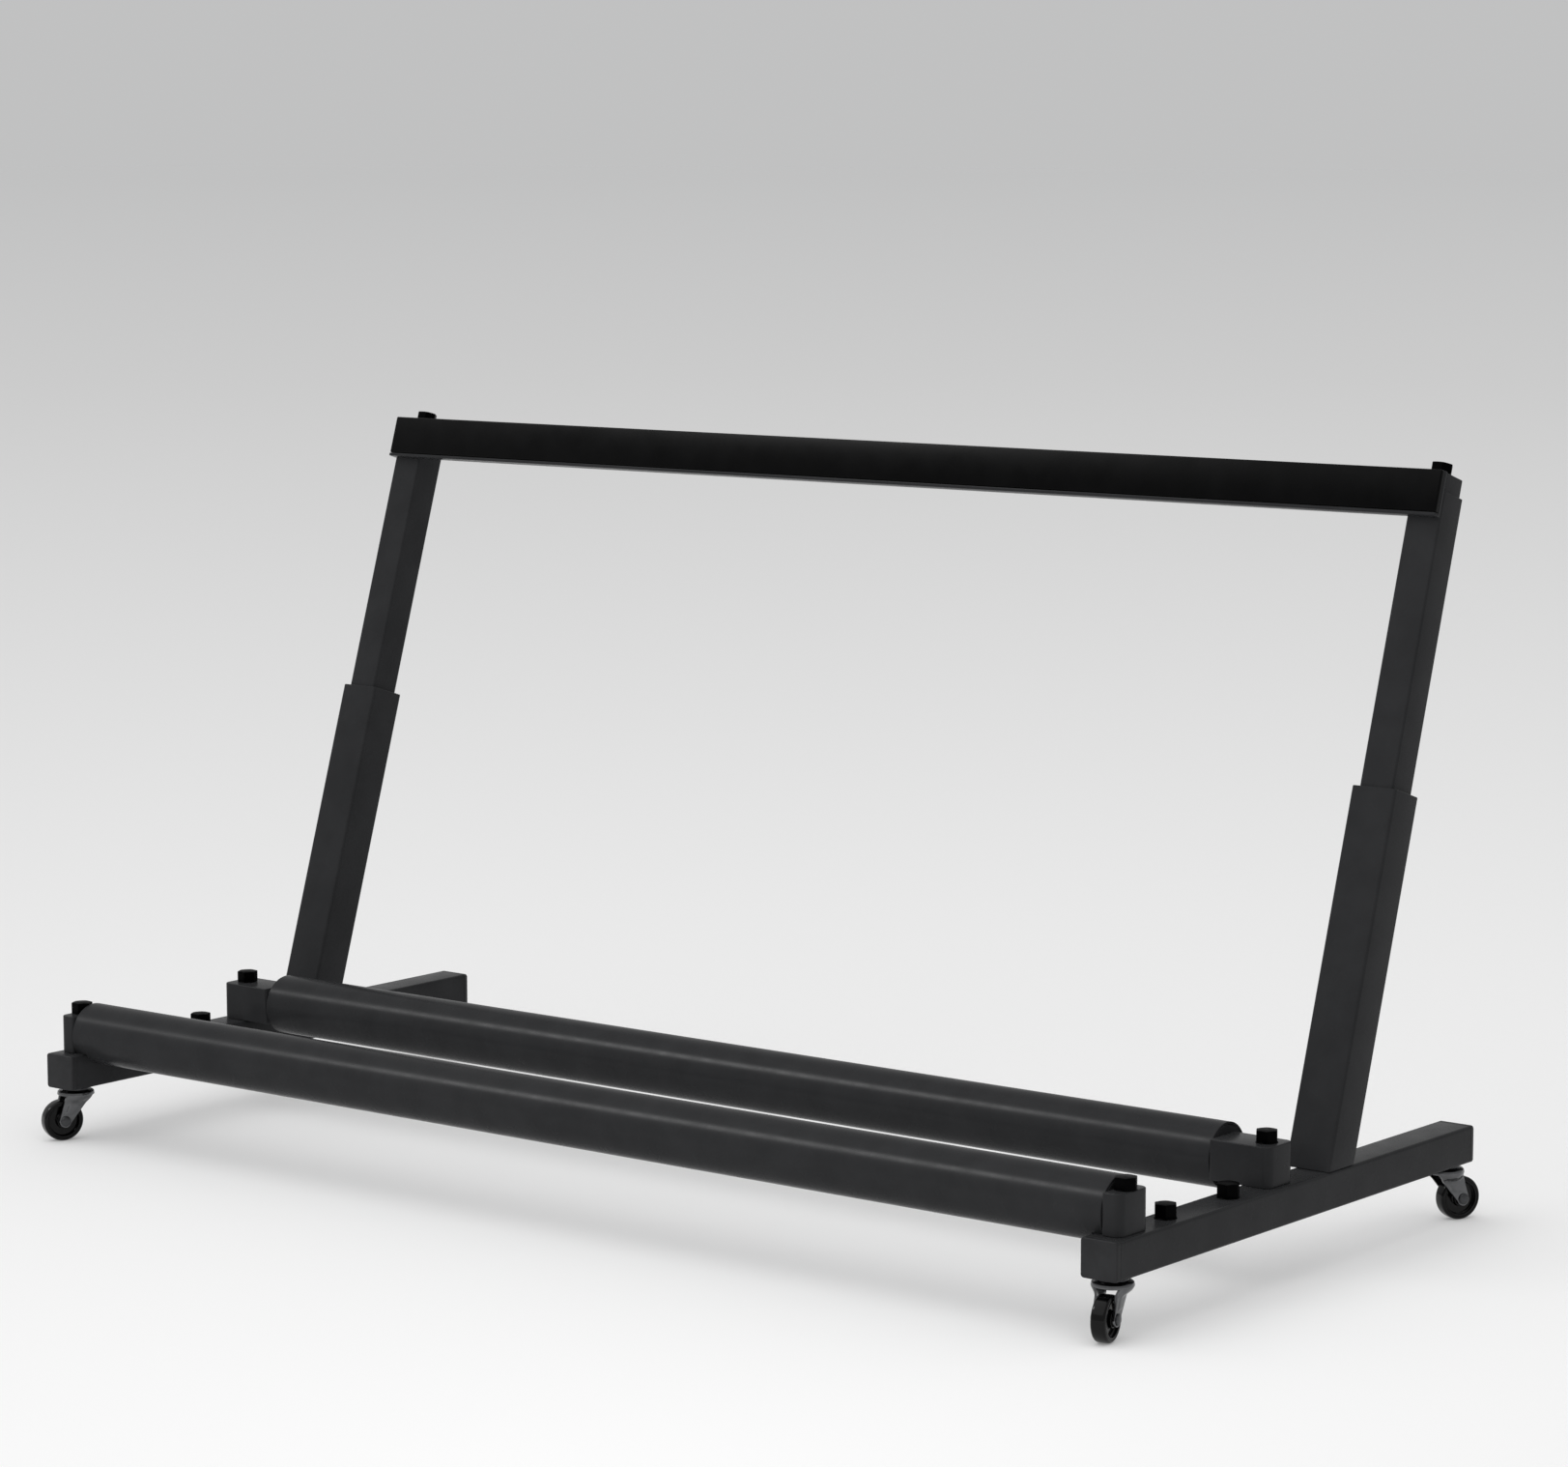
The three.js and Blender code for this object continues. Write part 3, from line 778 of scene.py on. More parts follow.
@dataclass
class RailPair:
    """The two round rails and their brackets. The front rail passes over the feet and is notched for them."""

    foot: Foot
    radius: float = 0.024
    wall: float = 0.002
    axis_height: float = 0.014
    rail_faces: int = 144
    notch_gap: float = 0.0006
    notch_steps: int = 96
    inset: float = 0.005
    bracket_height: float = 0.0295
    bracket_edge: float = 0.0008
    outer_corner: float = 0.0065
    inner_corner: float = 0.0015
    bracket_steps: int = 8
    spigot_length: float = 0.026
    spigot_chamfer: float = 0.001
    spigot_faces: int = 48
    neck_radius: float = 0.0075
    neck_depth: float = 0.0043
    forms: dict[End, BracketForm] = field(default_factory=lambda: {
        End.FRONT: BracketForm(
            width=0.015, depth=0.035, place=0.0105, rail=0.023, bolt=0.0175, bolt_inset=0.0075),
        End.REAR: BracketForm(
            width=0.050, depth=0.033, place=0.1945, rail=0.024, bolt=0.0165, bolt_inset=0.0125),
    })

    def half(self, end: End) -> float:
        """Half the length of a rail."""
        return self.foot.stand_width / 2 - self.inset - self.forms[end].width - SEAT

    def face_y(self, end: End) -> float:
        """Where a bracket's front face lies."""
        return self.forms[end].place - self.foot.length / 2

    def bolt_place(self, side: Side, end: End) -> Spot:
        """Gives the place of a bracket's bolt cap.

        Args:
            side: The bracket's foot.
            end: The bracket's end of the foot.

        Returns:
            The middle of the cap's underside.
        """
        form = self.forms[end]
        x = side.sign * (self.foot.stand_width / 2 - self.inset - form.bolt_inset)
        return x, self.face_y(end) + form.bolt, self.foot.top + self.bracket_height + 2 * SEAT

    def plain_rail(self) -> Blank:
        """Makes a rail that ends beside the feet.

        Returns:
            The rail about the X axis.
        """
        edge, outer, inner, half = BROKEN_EDGE, self.radius, self.radius - self.wall, self.half(End.REAR)
        tube = Blank().turned([
            (outer, edge - half), (outer, half - edge), (outer - edge, half), (inner + edge, half),
            (inner, half - edge), (inner, edge - half), (inner + edge, -half), (outer - edge, -half),
        ], self.rail_faces)
        return Blank().add(tube, Matrix.Rotation(math.pi / 2, 4, "Y"))

    def notched_rail(self) -> Blank:
        """Makes a rail that is closed between the feet and open below over each of them.

        Returns:
            The rail about the X axis.
        """
        notch = self.foot.stand_width / 2 - self.foot.width - self.notch_gap
        half, steps, floor = self.half(End.FRONT), self.notch_steps, SEAT - self.axis_height
        outer, inner = self.radius, self.radius - self.wall
        part = Blank()
        mesh = part.mesh

        def arc(radius: float) -> list[Point]:
            """Gives the arc of a wall that stays above the notch, from one side over the top to the other.

            Args:
                radius: Radius of the wall.

            Returns:
                The points, from the side where the circle starts.
            """
            low = math.asin(floor / radius)
            return [on_circle(radius, low + (math.pi - 2 * low) * i / steps) for i in range(steps + 1)]

        def below(radius: float) -> list[Point]:
            """Gives the rest of a wall's circle, below the notch, from the far side back.

            Args:
                radius: Radius of the wall.

            Returns:
                The points between the arc's ends.
            """
            low, count = math.asin(floor / radius), steps // 3
            return [
                on_circle(radius, math.pi - low + (math.pi + 2 * low) * i / count) for i in range(1, count)
            ]

        def row(points: Sequence[Point], x: float) -> list[bmesh.types.BMVert]:
            """Adds a row of points across the rail."""
            return [mesh.verts.new((x, y, z)) for y, z in points]

        def span(a: Sequence[bmesh.types.BMVert], b: Sequence[bmesh.types.BMVert], closed: bool) -> None:
            """Spans faces between two rows.

            Args:
                a: One row.
                b: The other row, of equal length.
                closed: Also spans from the rows' last points to their first.
            """
            for i in range(len(a) if closed else len(a) - 1):
                j = (i + 1) % len(a)
                mesh.faces.new((a[i], a[j], b[j], b[i]))

        middle = {
            (radius, sign): row(arc(radius) + below(radius), sign * notch)
            for radius in (outer, inner) for sign in (-1, 1)
        }
        for radius in (outer, inner):
            span(middle[radius, -1], middle[radius, 1], True)
        count = steps + 1
        for sign in (-1, 1):
            skin, bore = middle[outer, sign], middle[inner, sign]
            shoulder, tip = sign * (half - BROKEN_EDGE), sign * half
            rows = [
                skin[:count], row(arc(outer), shoulder), row(arc(outer - BROKEN_EDGE), tip),
                row(arc(inner + BROKEN_EDGE), tip), row(arc(inner), shoulder), bore[:count],
            ]
            for a, b in zip(rows, rows[1:]):
                span(a, b, False)
            for side in (0, -1):
                mesh.faces.new([strip[side] for strip in rows])
            span([*skin[count - 1:], skin[0]], [*bore[count - 1:], bore[0]], False)
        return part

    def rail(self, end: End) -> Blank:
        """Makes a rail.

        Args:
            end: The end of the feet that it lies at.

        Returns:
            The rail in its place.
        """
        part = self.notched_rail() if end is End.FRONT else self.plain_rail()
        y = self.face_y(end) + self.forms[end].rail
        return Blank().add(part, Matrix.Translation((0, y, self.foot.top + self.axis_height)))

    def spigot(self, side: Side, end: End) -> Blank:
        """Makes the spigot of a bracket, inside the rail's end, and the neck that joins them.

        Args:
            side: The bracket's foot.
            end: The bracket's end of the foot.

        Returns:
            The spigot, about the middle of the bracket's underside.
        """
        form, neck, start = self.forms[end], self.neck_radius, -self.neck_depth
        radius, tip, chamfer = self.radius - self.wall - SEAT, self.spigot_length, self.spigot_chamfer
        turned = Blank().turned([
            (0, start), (neck, start), (neck, 0.0), (radius, 0.0), (radius, tip - chamfer),
            (radius - chamfer, tip), (0, tip),
        ], self.spigot_faces)
        spot = (-side.sign * (form.width / 2 + SEAT), form.rail - form.depth / 2, self.axis_height)
        part = Blank().add(turned, placing(spot, -side.sign * math.pi / 2, "Y"))
        if end is End.FRONT:
            part.cut((0, 0, 2 * SEAT), (0, 0, -1))
        return part

    def bracket(self, side: Side, end: End) -> Blank:
        """Makes a bracket with rounded edges and its spigot.

        Args:
            side: The bracket's foot.
            end: The bracket's end of the foot.

        Returns:
            The bracket in its place.
        """
        form = self.forms[end]

        def outline(inset: float) -> list[Point]:
            """Gives the block's outline, with its tighter corners on the rail's side.

            Args:
                inset: How far it is drawn in on every side.

            Returns:
                The outline about the middle of the block.
            """
            size = (form.width - 2 * inset, form.depth - 2 * inset)
            outer = rounded_rectangle(*size, self.outer_corner - inset, self.bracket_steps)
            inner = rounded_rectangle(*size, self.inner_corner - inset, self.bracket_steps)
            chosen = [a if a[0] > 0 else b for a, b in zip(outer, inner)]
            return [(side.sign * x, side.sign * y) for x, y in chosen]

        top = SEAT + self.bracket_height
        part = Blank().skin([
            ring_at(outline(BROKEN_EDGE), SEAT), ring_at(outline(0), SEAT + BROKEN_EDGE),
            *(ring_at(outline(inset), top - drop) for inset, drop in rounded_edge(self.bracket_edge)),
        ])
        part.add(self.spigot(side, end))
        x = side.sign * (self.foot.stand_width / 2 - self.inset - form.width / 2)
        return Blank().add(part, Matrix.Translation((x, self.face_y(end) + form.depth / 2, self.foot.top)))

    def build(self, coats: Wardrobe) -> None:
        """Builds and dresses the rails and brackets.

        Args:
            coats: The finishes.
        """
        for end in End:
            rail = self.rail(end).finish(f"round_rail_{end.value}", coats.paint)
            register(rail, "base", "charcoal_paint", f"{end.value}_rail")
            for side in Side:
                key = f"{end.value}_{side.value}"
                bracket = self.bracket(side, end).finish(f"bracket_{key}", coats.paint)
                register(bracket, "base", "charcoal_paint", f"rail_bracket_{key}")


@dataclass
class Upright:
    """One leaning upright: a sleeve on the foot and the post that slides in it.

    The section of the lock screw's head is points of radius and rise.
    """

    side: Side
    lean: float = math.radians(17.5)
    foot_top: float = 0.071
    base_y: float = 0.048325
    half_width: float = 0.504
    sleeve_width: float = 0.037
    sleeve_depth: float = 0.034
    sleeve_wall: float = 0.0015
    sleeve_corner: float = 0.0025
    sleeve_top: float = 0.27464
    sleeve_edge: float = 0.0004
    bush_height: float = 0.025
    bush_corner: float = 0.001
    bush_top_corner: float = 0.0008
    post_width: float = 0.028
    post_wall: float = 0.0015
    post_corner: float = 0.002
    post_top: float = 0.496
    insertion: float = 0.140
    carrier_rise: float = 0.014
    carrier_entry: float = 0.040
    carrier_corner: float = 0.0015
    carrier_edge: float = 0.0008
    lock_below_bush: float = 0.018
    nut_radius: float = 0.008
    nut_bore: float = 0.0033
    nut_height: float = 0.005
    nut_edge: float = 0.0005
    screw_radius: float = 0.003
    screw_chamfer: float = 0.0005
    screw_faces: int = 30
    screw_head: tuple[Point, ...] = (
        (0.0053, 0.0), (0.0055, 0.0003), (0.0055, 0.0018), (0.0049, 0.0026), (0.0042, 0.003), (0.0023, 0.003),
        (0.002, 0.0027), (0.002, 0.0014), (0.0, 0.0014),
    )

    @property
    def tilt(self) -> Matrix:
        """The place of the leaning frame, with its origin where the axis meets the foot's top."""
        return placing((self.side.sign * self.half_width, self.base_y, self.foot_top), -self.lean, "X")

    def sleeve(self) -> Blank:
        """Makes the sleeve, cut level on the foot, with its mouth drawn in a little.

        Returns:
            The sleeve in its place.
        """
        tangent, cosine = math.tan(self.lean), math.cos(self.lean)
        tube = box_tube(
            self.sleeve_width, self.sleeve_depth, self.sleeve_corner, self.sleeve_wall,
            lambda y: SEAT / cosine + y * tangent, self.sleeve_top, self.sleeve_edge,
        )
        return Blank().add(tube, self.tilt)

    def bush(self) -> Blank:
        """Makes the glide bush in the sleeve's mouth.

        Returns:
            The bush in its place.
        """
        gap = 2 * (self.sleeve_wall + SEAT)
        width, depth, bore = self.sleeve_width - gap, self.sleeve_depth - gap, self.post_width + 2 * SEAT
        wall = (width - self.post_width) / 2 - SEAT
        low, high, edge = self.sleeve_top - self.bush_height, self.sleeve_top, min(self.sleeve_edge, wall / 3)
        outer = rounded_rectangle(width, depth, self.bush_corner)
        outer_in = rounded_rectangle(width - 2 * edge, depth - 2 * edge, self.bush_top_corner)
        inner = rounded_rectangle(bore, bore, self.post_corner)
        inner_out = rounded_rectangle(bore + 2 * edge, bore + 2 * edge, self.post_corner)
        ring = Blank().skin([
            ring_at(outer, low), ring_at(inner, low), ring_at(inner, high - edge), ring_at(inner_out, high),
            ring_at(outer_in, high), ring_at(outer, high - edge),
        ], loop=True)
        return Blank().add(ring, self.tilt)

    def post(self) -> Blank:
        """Makes the sliding post.

        Returns:
            The post in its place.
        """
        low = self.sleeve_top - self.insertion
        size, corner, wall = self.post_width, self.post_corner, self.post_wall
        return Blank().add(box_tube(size, size, corner, wall, lambda _: low, self.post_top), self.tilt)

    def carrier(self) -> Blank:
        """Makes the block in the post's top that carries the bar.

        Returns:
            The block in its place.
        """
        size = self.post_width - 2 * (self.post_wall + SEAT)
        low, high = self.post_top - self.carrier_entry, self.post_top + self.carrier_rise
        rows = [ring_at(rounded_rectangle(size, size, self.carrier_corner), low)]
        for inset, drop in rounded_edge(self.carrier_edge):
            outline = rounded_rectangle(size - 2 * inset, size - 2 * inset, self.carrier_corner - inset)
            rows.append(ring_at(outline, high - drop))
        return Blank().add(Blank().skin(rows), self.tilt)

    def lock(self) -> tuple[Blank, Blank]:
        """Makes the lock nut and the lock screw behind the sleeve.

        Returns:
            The nut and the screw, in their places.
        """
        height = self.sleeve_top - self.bush_height - self.lock_below_bush
        back = self.tilt @ placing((0, 0, height), -math.pi / 2, "X")
        start = self.sleeve_depth / 2 + SEAT
        hexagon, bore = (
            [on_circle(radius, k * math.pi / 3) for k in range(6)]
            for radius in (self.nut_radius, self.nut_bore)
        )
        nut = Blank().skin([
            ring_at(hexagon, start), ring_at(bore, start),
            ring_at(bore, start + self.nut_height), ring_at(hexagon, start + self.nut_height),
        ], loop=True).soften(self.nut_edge, 2)
        tip, under = self.post_width / 2 + SEAT, self.sleeve_depth / 2 + self.nut_height + 2 * SEAT
        screw = Blank().turned([
            (0, tip), (self.screw_radius - self.screw_chamfer, tip),
            (self.screw_radius, tip + self.screw_chamfer), (self.screw_radius, under),
            *((radius, under + rise) for radius, rise in self.screw_head),
        ], self.screw_faces)
        return Blank().add(nut, back), Blank().add(screw, back)

    def build(self, coats: Wardrobe) -> None:
        """Builds and dresses the upright.

        Args:
            coats: The finishes.
        """
        key = self.side.value
        sleeve = self.sleeve().finish(f"upright_sleeve_{key}", coats.paint)
        register(sleeve, "base", "charcoal_paint", f"sleeve_{key}")
        bush = self.bush().finish(f"glide_bush_{key}", coats.nylon)
        register(bush, "base", "nylon", f"sleeve_bush_{key}")
        nut, screw = self.lock()
        register(nut.finish(f"hexagon_lock_nut_{key}", coats.steel), "base", "steel", f"lock_nut_{key}")
        register(screw.finish(f"socket_lock_screw_{key}", coats.steel), "base", "steel", f"lock_screw_{key}")
        post = self.post().finish(f"upright_post_{key}", coats.paint)
        register(post, "backrest", "charcoal_paint", f"post_{key}")
        carrier = self.carrier().finish(f"carrier_block_{key}", coats.paint)
        register(carrier, "backrest", "charcoal_paint", f"bar_carrier_{key}")
        dress(coats.steel, f"bar_screw_{key}")


@dataclass
class PaddedBar:
    """The bar across the posts' tops, with its lip and the pad on its face."""

    upright: Upright
    height: float = 0.0345
    web: float = 0.003
    lip: float = 0.0025
    length: float = 1.036
    bar_edge: float = 0.0005
    pad_thickness: float = 0.005
    pad_edge: float = 0.0012
    pad_sharp_turn: float = 50.0

    @property
    def back(self) -> float:
        """Where the bar's back lies in the leaning frame."""
        return -self.upright.post_width / 2 - SEAT

    @property
    def bottom(self) -> float:
        """Height of the bar's underside along the uprights."""
        return self.upright.post_top + self.upright.carrier_rise - self.height

    def drawn(self, section: Sequence[Point], edge: float) -> Blank:
        """Draws a section in Y and Z of the leaning frame out along the bar.

        Args:
            section: The section.
            edge: Radius of the rounded edges.

        Returns:
            The piece in its place.
        """
        part = Blank().prism(section, -self.length / 2, self.length / 2, edge)
        tilt = placing((0, self.upright.base_y, self.upright.foot_top), -self.upright.lean, "X")
        along_x = Matrix(((0, 0, 1, 0), (1, 0, 0, 0), (0, 1, 0, 0), (0, 0, 0, 1)))
        return Blank().add(part, tilt @ along_x)

    def bar(self) -> Blank:
        """Makes the bar with its lip.

        Returns:
            The bar in its place.
        """
        back, low, high = self.back, self.bottom, self.bottom + self.height
        web, front = back - self.web, back - self.web - SEAT - self.pad_thickness
        lip = low + self.lip
        section = [(back, low), (back, high), (web, high), (web, lip), (front, lip), (front, low)]
        return self.drawn(section, self.bar_edge)

    def pad(self) -> Blank:
        """Makes the pad with round edges.

        Returns:
            The pad in its place.
        """
        back = self.back - self.web - SEAT
        front = back - self.pad_thickness
        low, high = self.bottom + self.lip + SEAT, self.bottom + self.height
        return self.drawn([(back, low), (back, high), (front, high), (front, low)], self.pad_edge)

    def build(self, coats: Wardrobe) -> None:
        """Builds and dresses the bar and its pad.

        Args:
            coats: The finishes.
        """
        register(self.bar().finish("lipped_bar", coats.paint), "backrest", "charcoal_paint", "top_bar")
        pad = self.pad().finish("face_pad", coats.pad, self.pad_sharp_turn)
        register(pad, "backrest", "pad_rubber", "bar_pad")


class Recipe:
    """A Geometry Nodes tree that makes a shape on points, with named inputs."""

    def __init__(self, name: str, sizes: Sequence[str]) -> None:
        """Starts the tree, with an input for the points and one for the seed.

        Args:
            name: Name of the tree.
            sizes: Names of its inputs for sizes and angles.
        """
        self.tree = bpy.data.node_groups.new(name, "GeometryNodeTree")
        face = self.tree.interface
        face.new_socket("Points", in_out="INPUT", socket_type="NodeSocketGeometry")
        kinds = {size: "NodeSocketFloat" for size in sizes} | {"Seed": "NodeSocketInt"}
        self.keys = {
            label: face.new_socket(label, in_out="INPUT", socket_type=kind).identifier
            for label, kind in kinds.items()
        }
        face.new_socket("Shape", in_out="OUTPUT", socket_type="NodeSocketGeometry")
        self.source = self.tree.nodes.new("NodeGroupInput")
        self.target = self.tree.nodes.new("NodeGroupOutput")

    def take(self, name: str) -> bpy.types.NodeSocket:
        """Gives one of the tree's inputs."""
        return self.source.outputs[name]

    def feed(self, value: object, socket: bpy.types.NodeSocket) -> None:
        """Joins a socket to an input, or sets a value on it.

        Args:
            value: The socket or the value.
            socket: The input.
        """
        if isinstance(value, bpy.types.NodeSocket):
            self.tree.links.new(value, socket)
        else:
            socket.default_value = value

    def node(self, kind: str, inputs: dict[str | int, object], **settings: str) -> bpy.types.Node:
        """Adds a node.

        Args:
            kind: Type of the node.
            inputs: What its sockets take.
            **settings: Its properties.

        Returns:
            The node.
        """
        made = self.tree.nodes.new(kind)
        for name, value in settings.items():
            setattr(made, name, value)
        for key, value in inputs.items():
            self.feed(value, made.inputs[key])
        return made

    def reckon(self, operation: str, first: object, second: object) -> bpy.types.NodeSocket:
        """Adds an operation on two values."""
        return self.node("ShaderNodeMath", {0: first, 1: second}, operation=operation).outputs[0]

    def vector(self, x: object = 0.0, y: object = 0.0, z: object = 0.0) -> bpy.types.NodeSocket:
        """Joins three values to a vector."""
        return self.node("ShaderNodeCombineXYZ", {"X": x, "Y": y, "Z": z}).outputs[0]

    def lifted(self, shape: bpy.types.NodeSocket, height: object) -> bpy.types.NodeSocket:
        """Moves a shape up."""
        inputs = {"Geometry": shape, "Translation": self.vector(z=height)}
        return self.node("GeometryNodeTransform", inputs).outputs[0]

    def joined(self, *shapes: bpy.types.NodeSocket) -> bpy.types.NodeSocket:
        """Joins shapes to one.

        Args:
            *shapes: The shapes.

        Returns:
            The joined shape.
        """
        join = self.node("GeometryNodeJoinGeometry", {})
        for shape in shapes:
            self.feed(shape, join.inputs[0])
        return join.outputs[0]

    def on_points(
        self, shape: bpy.types.NodeSocket, turn: bpy.types.NodeSocket, tall: str,
    ) -> bpy.types.NodeSocket:
        """Sets a shape on every point.

        Args:
            shape: The shape.
            turn: Its rotation.
            tall: Name of the points' attribute that stretches it along its own axis.

        Returns:
            The instances.
        """
        stretch = self.node("GeometryNodeInputNamedAttribute", {"Name": tall}, data_type="FLOAT").outputs[0]
        return self.node("GeometryNodeInstanceOnPoints", {
            "Points": self.take("Points"), "Instance": shape, "Rotation": turn,
            "Scale": self.vector(1.0, 1.0, stretch),
        }).outputs[0]

    def finish(self, shape: bpy.types.NodeSocket, coat: bpy.types.Material) -> None:
        """Ends the tree with plain geometry and its material.

        Args:
            shape: What the tree makes.
            coat: The material.
        """
        real = self.node("GeometryNodeRealizeInstances", {0: shape})
        coated = self.node("GeometryNodeSetMaterial", {"Geometry": real.outputs[0], "Material": coat})
        self.feed(coated.outputs[0], self.target.inputs[0])


@dataclass(frozen=True)
class Bolt:
    """One bolt: its node, where its cap sits, the cap's height and how far the shank reaches down."""

    node: str
    place: Spot
    cap_height: float
    reach: float


@dataclass
class BoltSet:
    """Bolts with moulded hexagonal caps, set on points by a Geometry Nodes tree."""

    name: str
    body: str
    bolts: Sequence[Bolt]
    lean: float = 0.0
    cap_height: float = 0.0105
    corner_radius: float = 0.0082
    corner_growth: float = 1.04
    crease: float = 0.72
    levels: int = 4
    dome: float = 0.0009
    dome_start: float = 0.8
    skirt_share: float = 0.99
    skirt_height: float = 0.0012
    skirt_faces: int = 48
    shank_radius: float = 0.004
    shank_faces: int = 20
    shank_entry: float = 0.001
    wander: float = 0.09
    seed: int = 7

    def cap(self, recipe: Recipe) -> bpy.types.NodeSocket:
        """Makes a hexagonal cap with soft edges and a low dome.

        Args:
            recipe: The tree.

        Returns:
            The cap.
        """
        radius, height = recipe.take("Corner Radius"), recipe.take("Cap Height")
        hexagon = recipe.node(
            "GeometryNodeMeshCylinder", {"Vertices": 6, "Radius": radius, "Depth": height}, fill_type="NGON")
        soft = recipe.node("GeometryNodeSubdivisionSurface", {
            "Mesh": hexagon.outputs["Mesh"], "Level": self.levels, "Edge Crease": self.crease})
        plain = recipe.lifted(soft.outputs[0], recipe.reckon("MULTIPLY", height, 0.5))
        place = recipe.node("GeometryNodeInputPosition", {})
        x, y, z = recipe.node("ShaderNodeSeparateXYZ", {0: place.outputs[0]}).outputs
        square = recipe.reckon("ADD", recipe.reckon("MULTIPLY", x, x), recipe.reckon("MULTIPLY", y, y))
        share = recipe.reckon("DIVIDE", square, recipe.reckon("MULTIPLY", radius, radius))
        bowl = recipe.reckon("SUBTRACT", 1.0, share)
        upper = recipe.node("ShaderNodeMapRange", {
            "Value": z, "From Min": recipe.reckon("MULTIPLY", height, self.dome_start), "From Max": height,
        }, interpolation_type="SMOOTHSTEP")
        push = recipe.reckon("MULTIPLY", bowl, upper.outputs[0])
        offset = recipe.vector(z=recipe.reckon("MULTIPLY", push, recipe.take("Dome Rise")))
        return recipe.node("GeometryNodeSetPosition", {"Geometry": plain, "Offset": offset}).outputs[0]

    def skirt(self, recipe: Recipe) -> bpy.types.NodeSocket:
        """Makes the round skirt about the cap's foot.

        Args:
            recipe: The tree.

        Returns:
            The skirt.
        """
        radius, height = recipe.take("Skirt Radius"), recipe.take("Skirt Height")
        return recipe.node("GeometryNodeMeshCone", {
            "Vertices": self.skirt_faces, "Radius Top": recipe.reckon("SUBTRACT", radius, height),
            "Radius Bottom": radius, "Depth": height,
        }, fill_type="NGON").outputs["Mesh"]

    def shank(self, recipe: Recipe) -> bpy.types.NodeSocket:
        """Makes a shank of unit length, which ends a little inside the cap.

        Args:
            recipe: The tree.

        Returns:
            The shank.
        """
        inputs = {"Vertices": self.shank_faces, "Radius": recipe.take("Shank Radius"), "Depth": 1.0}
        shank = recipe.node("GeometryNodeMeshCylinder", inputs, fill_type="NGON")
        return recipe.lifted(shank.outputs["Mesh"], self.shank_entry - 0.5)

    def plan(self, coat: bpy.types.Material, sizes: Sequence[str]) -> Recipe:
        """Builds the tree.

        Args:
            coat: The caps' material.
            sizes: Names of its inputs for sizes and angles.

        Returns:
            The finished tree.
        """
        recipe = Recipe(f"{self.name}_tree", sizes)
        head = recipe.joined(self.skirt(recipe), self.cap(recipe))
        wander = recipe.node("FunctionNodeRandomValue", {
            2: -self.wander, 3: self.wander, "Seed": recipe.take("Seed")}, data_type="FLOAT").outputs[1]
        turn = recipe.vector(x=recipe.take("Lean"), z=wander)
        heads = recipe.on_points(head, turn, "rise")
        shanks = recipe.on_points(self.shank(recipe), turn, "reach")
        recipe.finish(recipe.joined(shanks, heads), coat)
        return recipe

    def build(self, coats: Wardrobe) -> None:
        """Builds the bolts as one plain mesh.

        Args:
            coats: The finishes.
        """
        seeds = bpy.data.meshes.new(f"{self.name}_points")
        seeds.from_pydata([Vector(bolt.place) for bolt in self.bolts], [], [])
        for name, values in (
            ("reach", [bolt.reach for bolt in self.bolts]),
            ("rise", [bolt.cap_height / self.cap_height for bolt in self.bolts]),
        ):
            seeds.attributes.new(name, "FLOAT", "POINT").data.foreach_set("value", values)
        carrier = put(f"{self.name}_carrier", seeds)
        sizes = {
            "Corner Radius": self.corner_radius * self.corner_growth,
            "Cap Height": self.cap_height - self.dome / 2, "Dome Rise": self.dome,
            "Skirt Radius": self.corner_radius * self.skirt_share, "Skirt Height": self.skirt_height,
            "Shank Radius": self.shank_radius, "Lean": self.lean,
        }
        recipe = self.plan(coats.cap, tuple(sizes))
        modifier = carrier.modifiers.new("caps", "NODES")
        modifier.node_group = recipe.tree
        for name, value in {**sizes, "Seed": self.seed}.items():
            modifier[recipe.keys[name]] = value
        carrier.update_tag()
        graph = bpy.context.evaluated_depsgraph_get()
        data = bpy.data.meshes.new_from_object(carrier.evaluated_get(graph))
        carrier.modifiers.remove(modifier)
        bpy.data.objects.remove(carrier)
        data.name = self.name
        shade(data, SHARP_TURN)
        register(put(self.name, data), self.body, "black_cap", *(bolt.node for bolt in self.bolts))


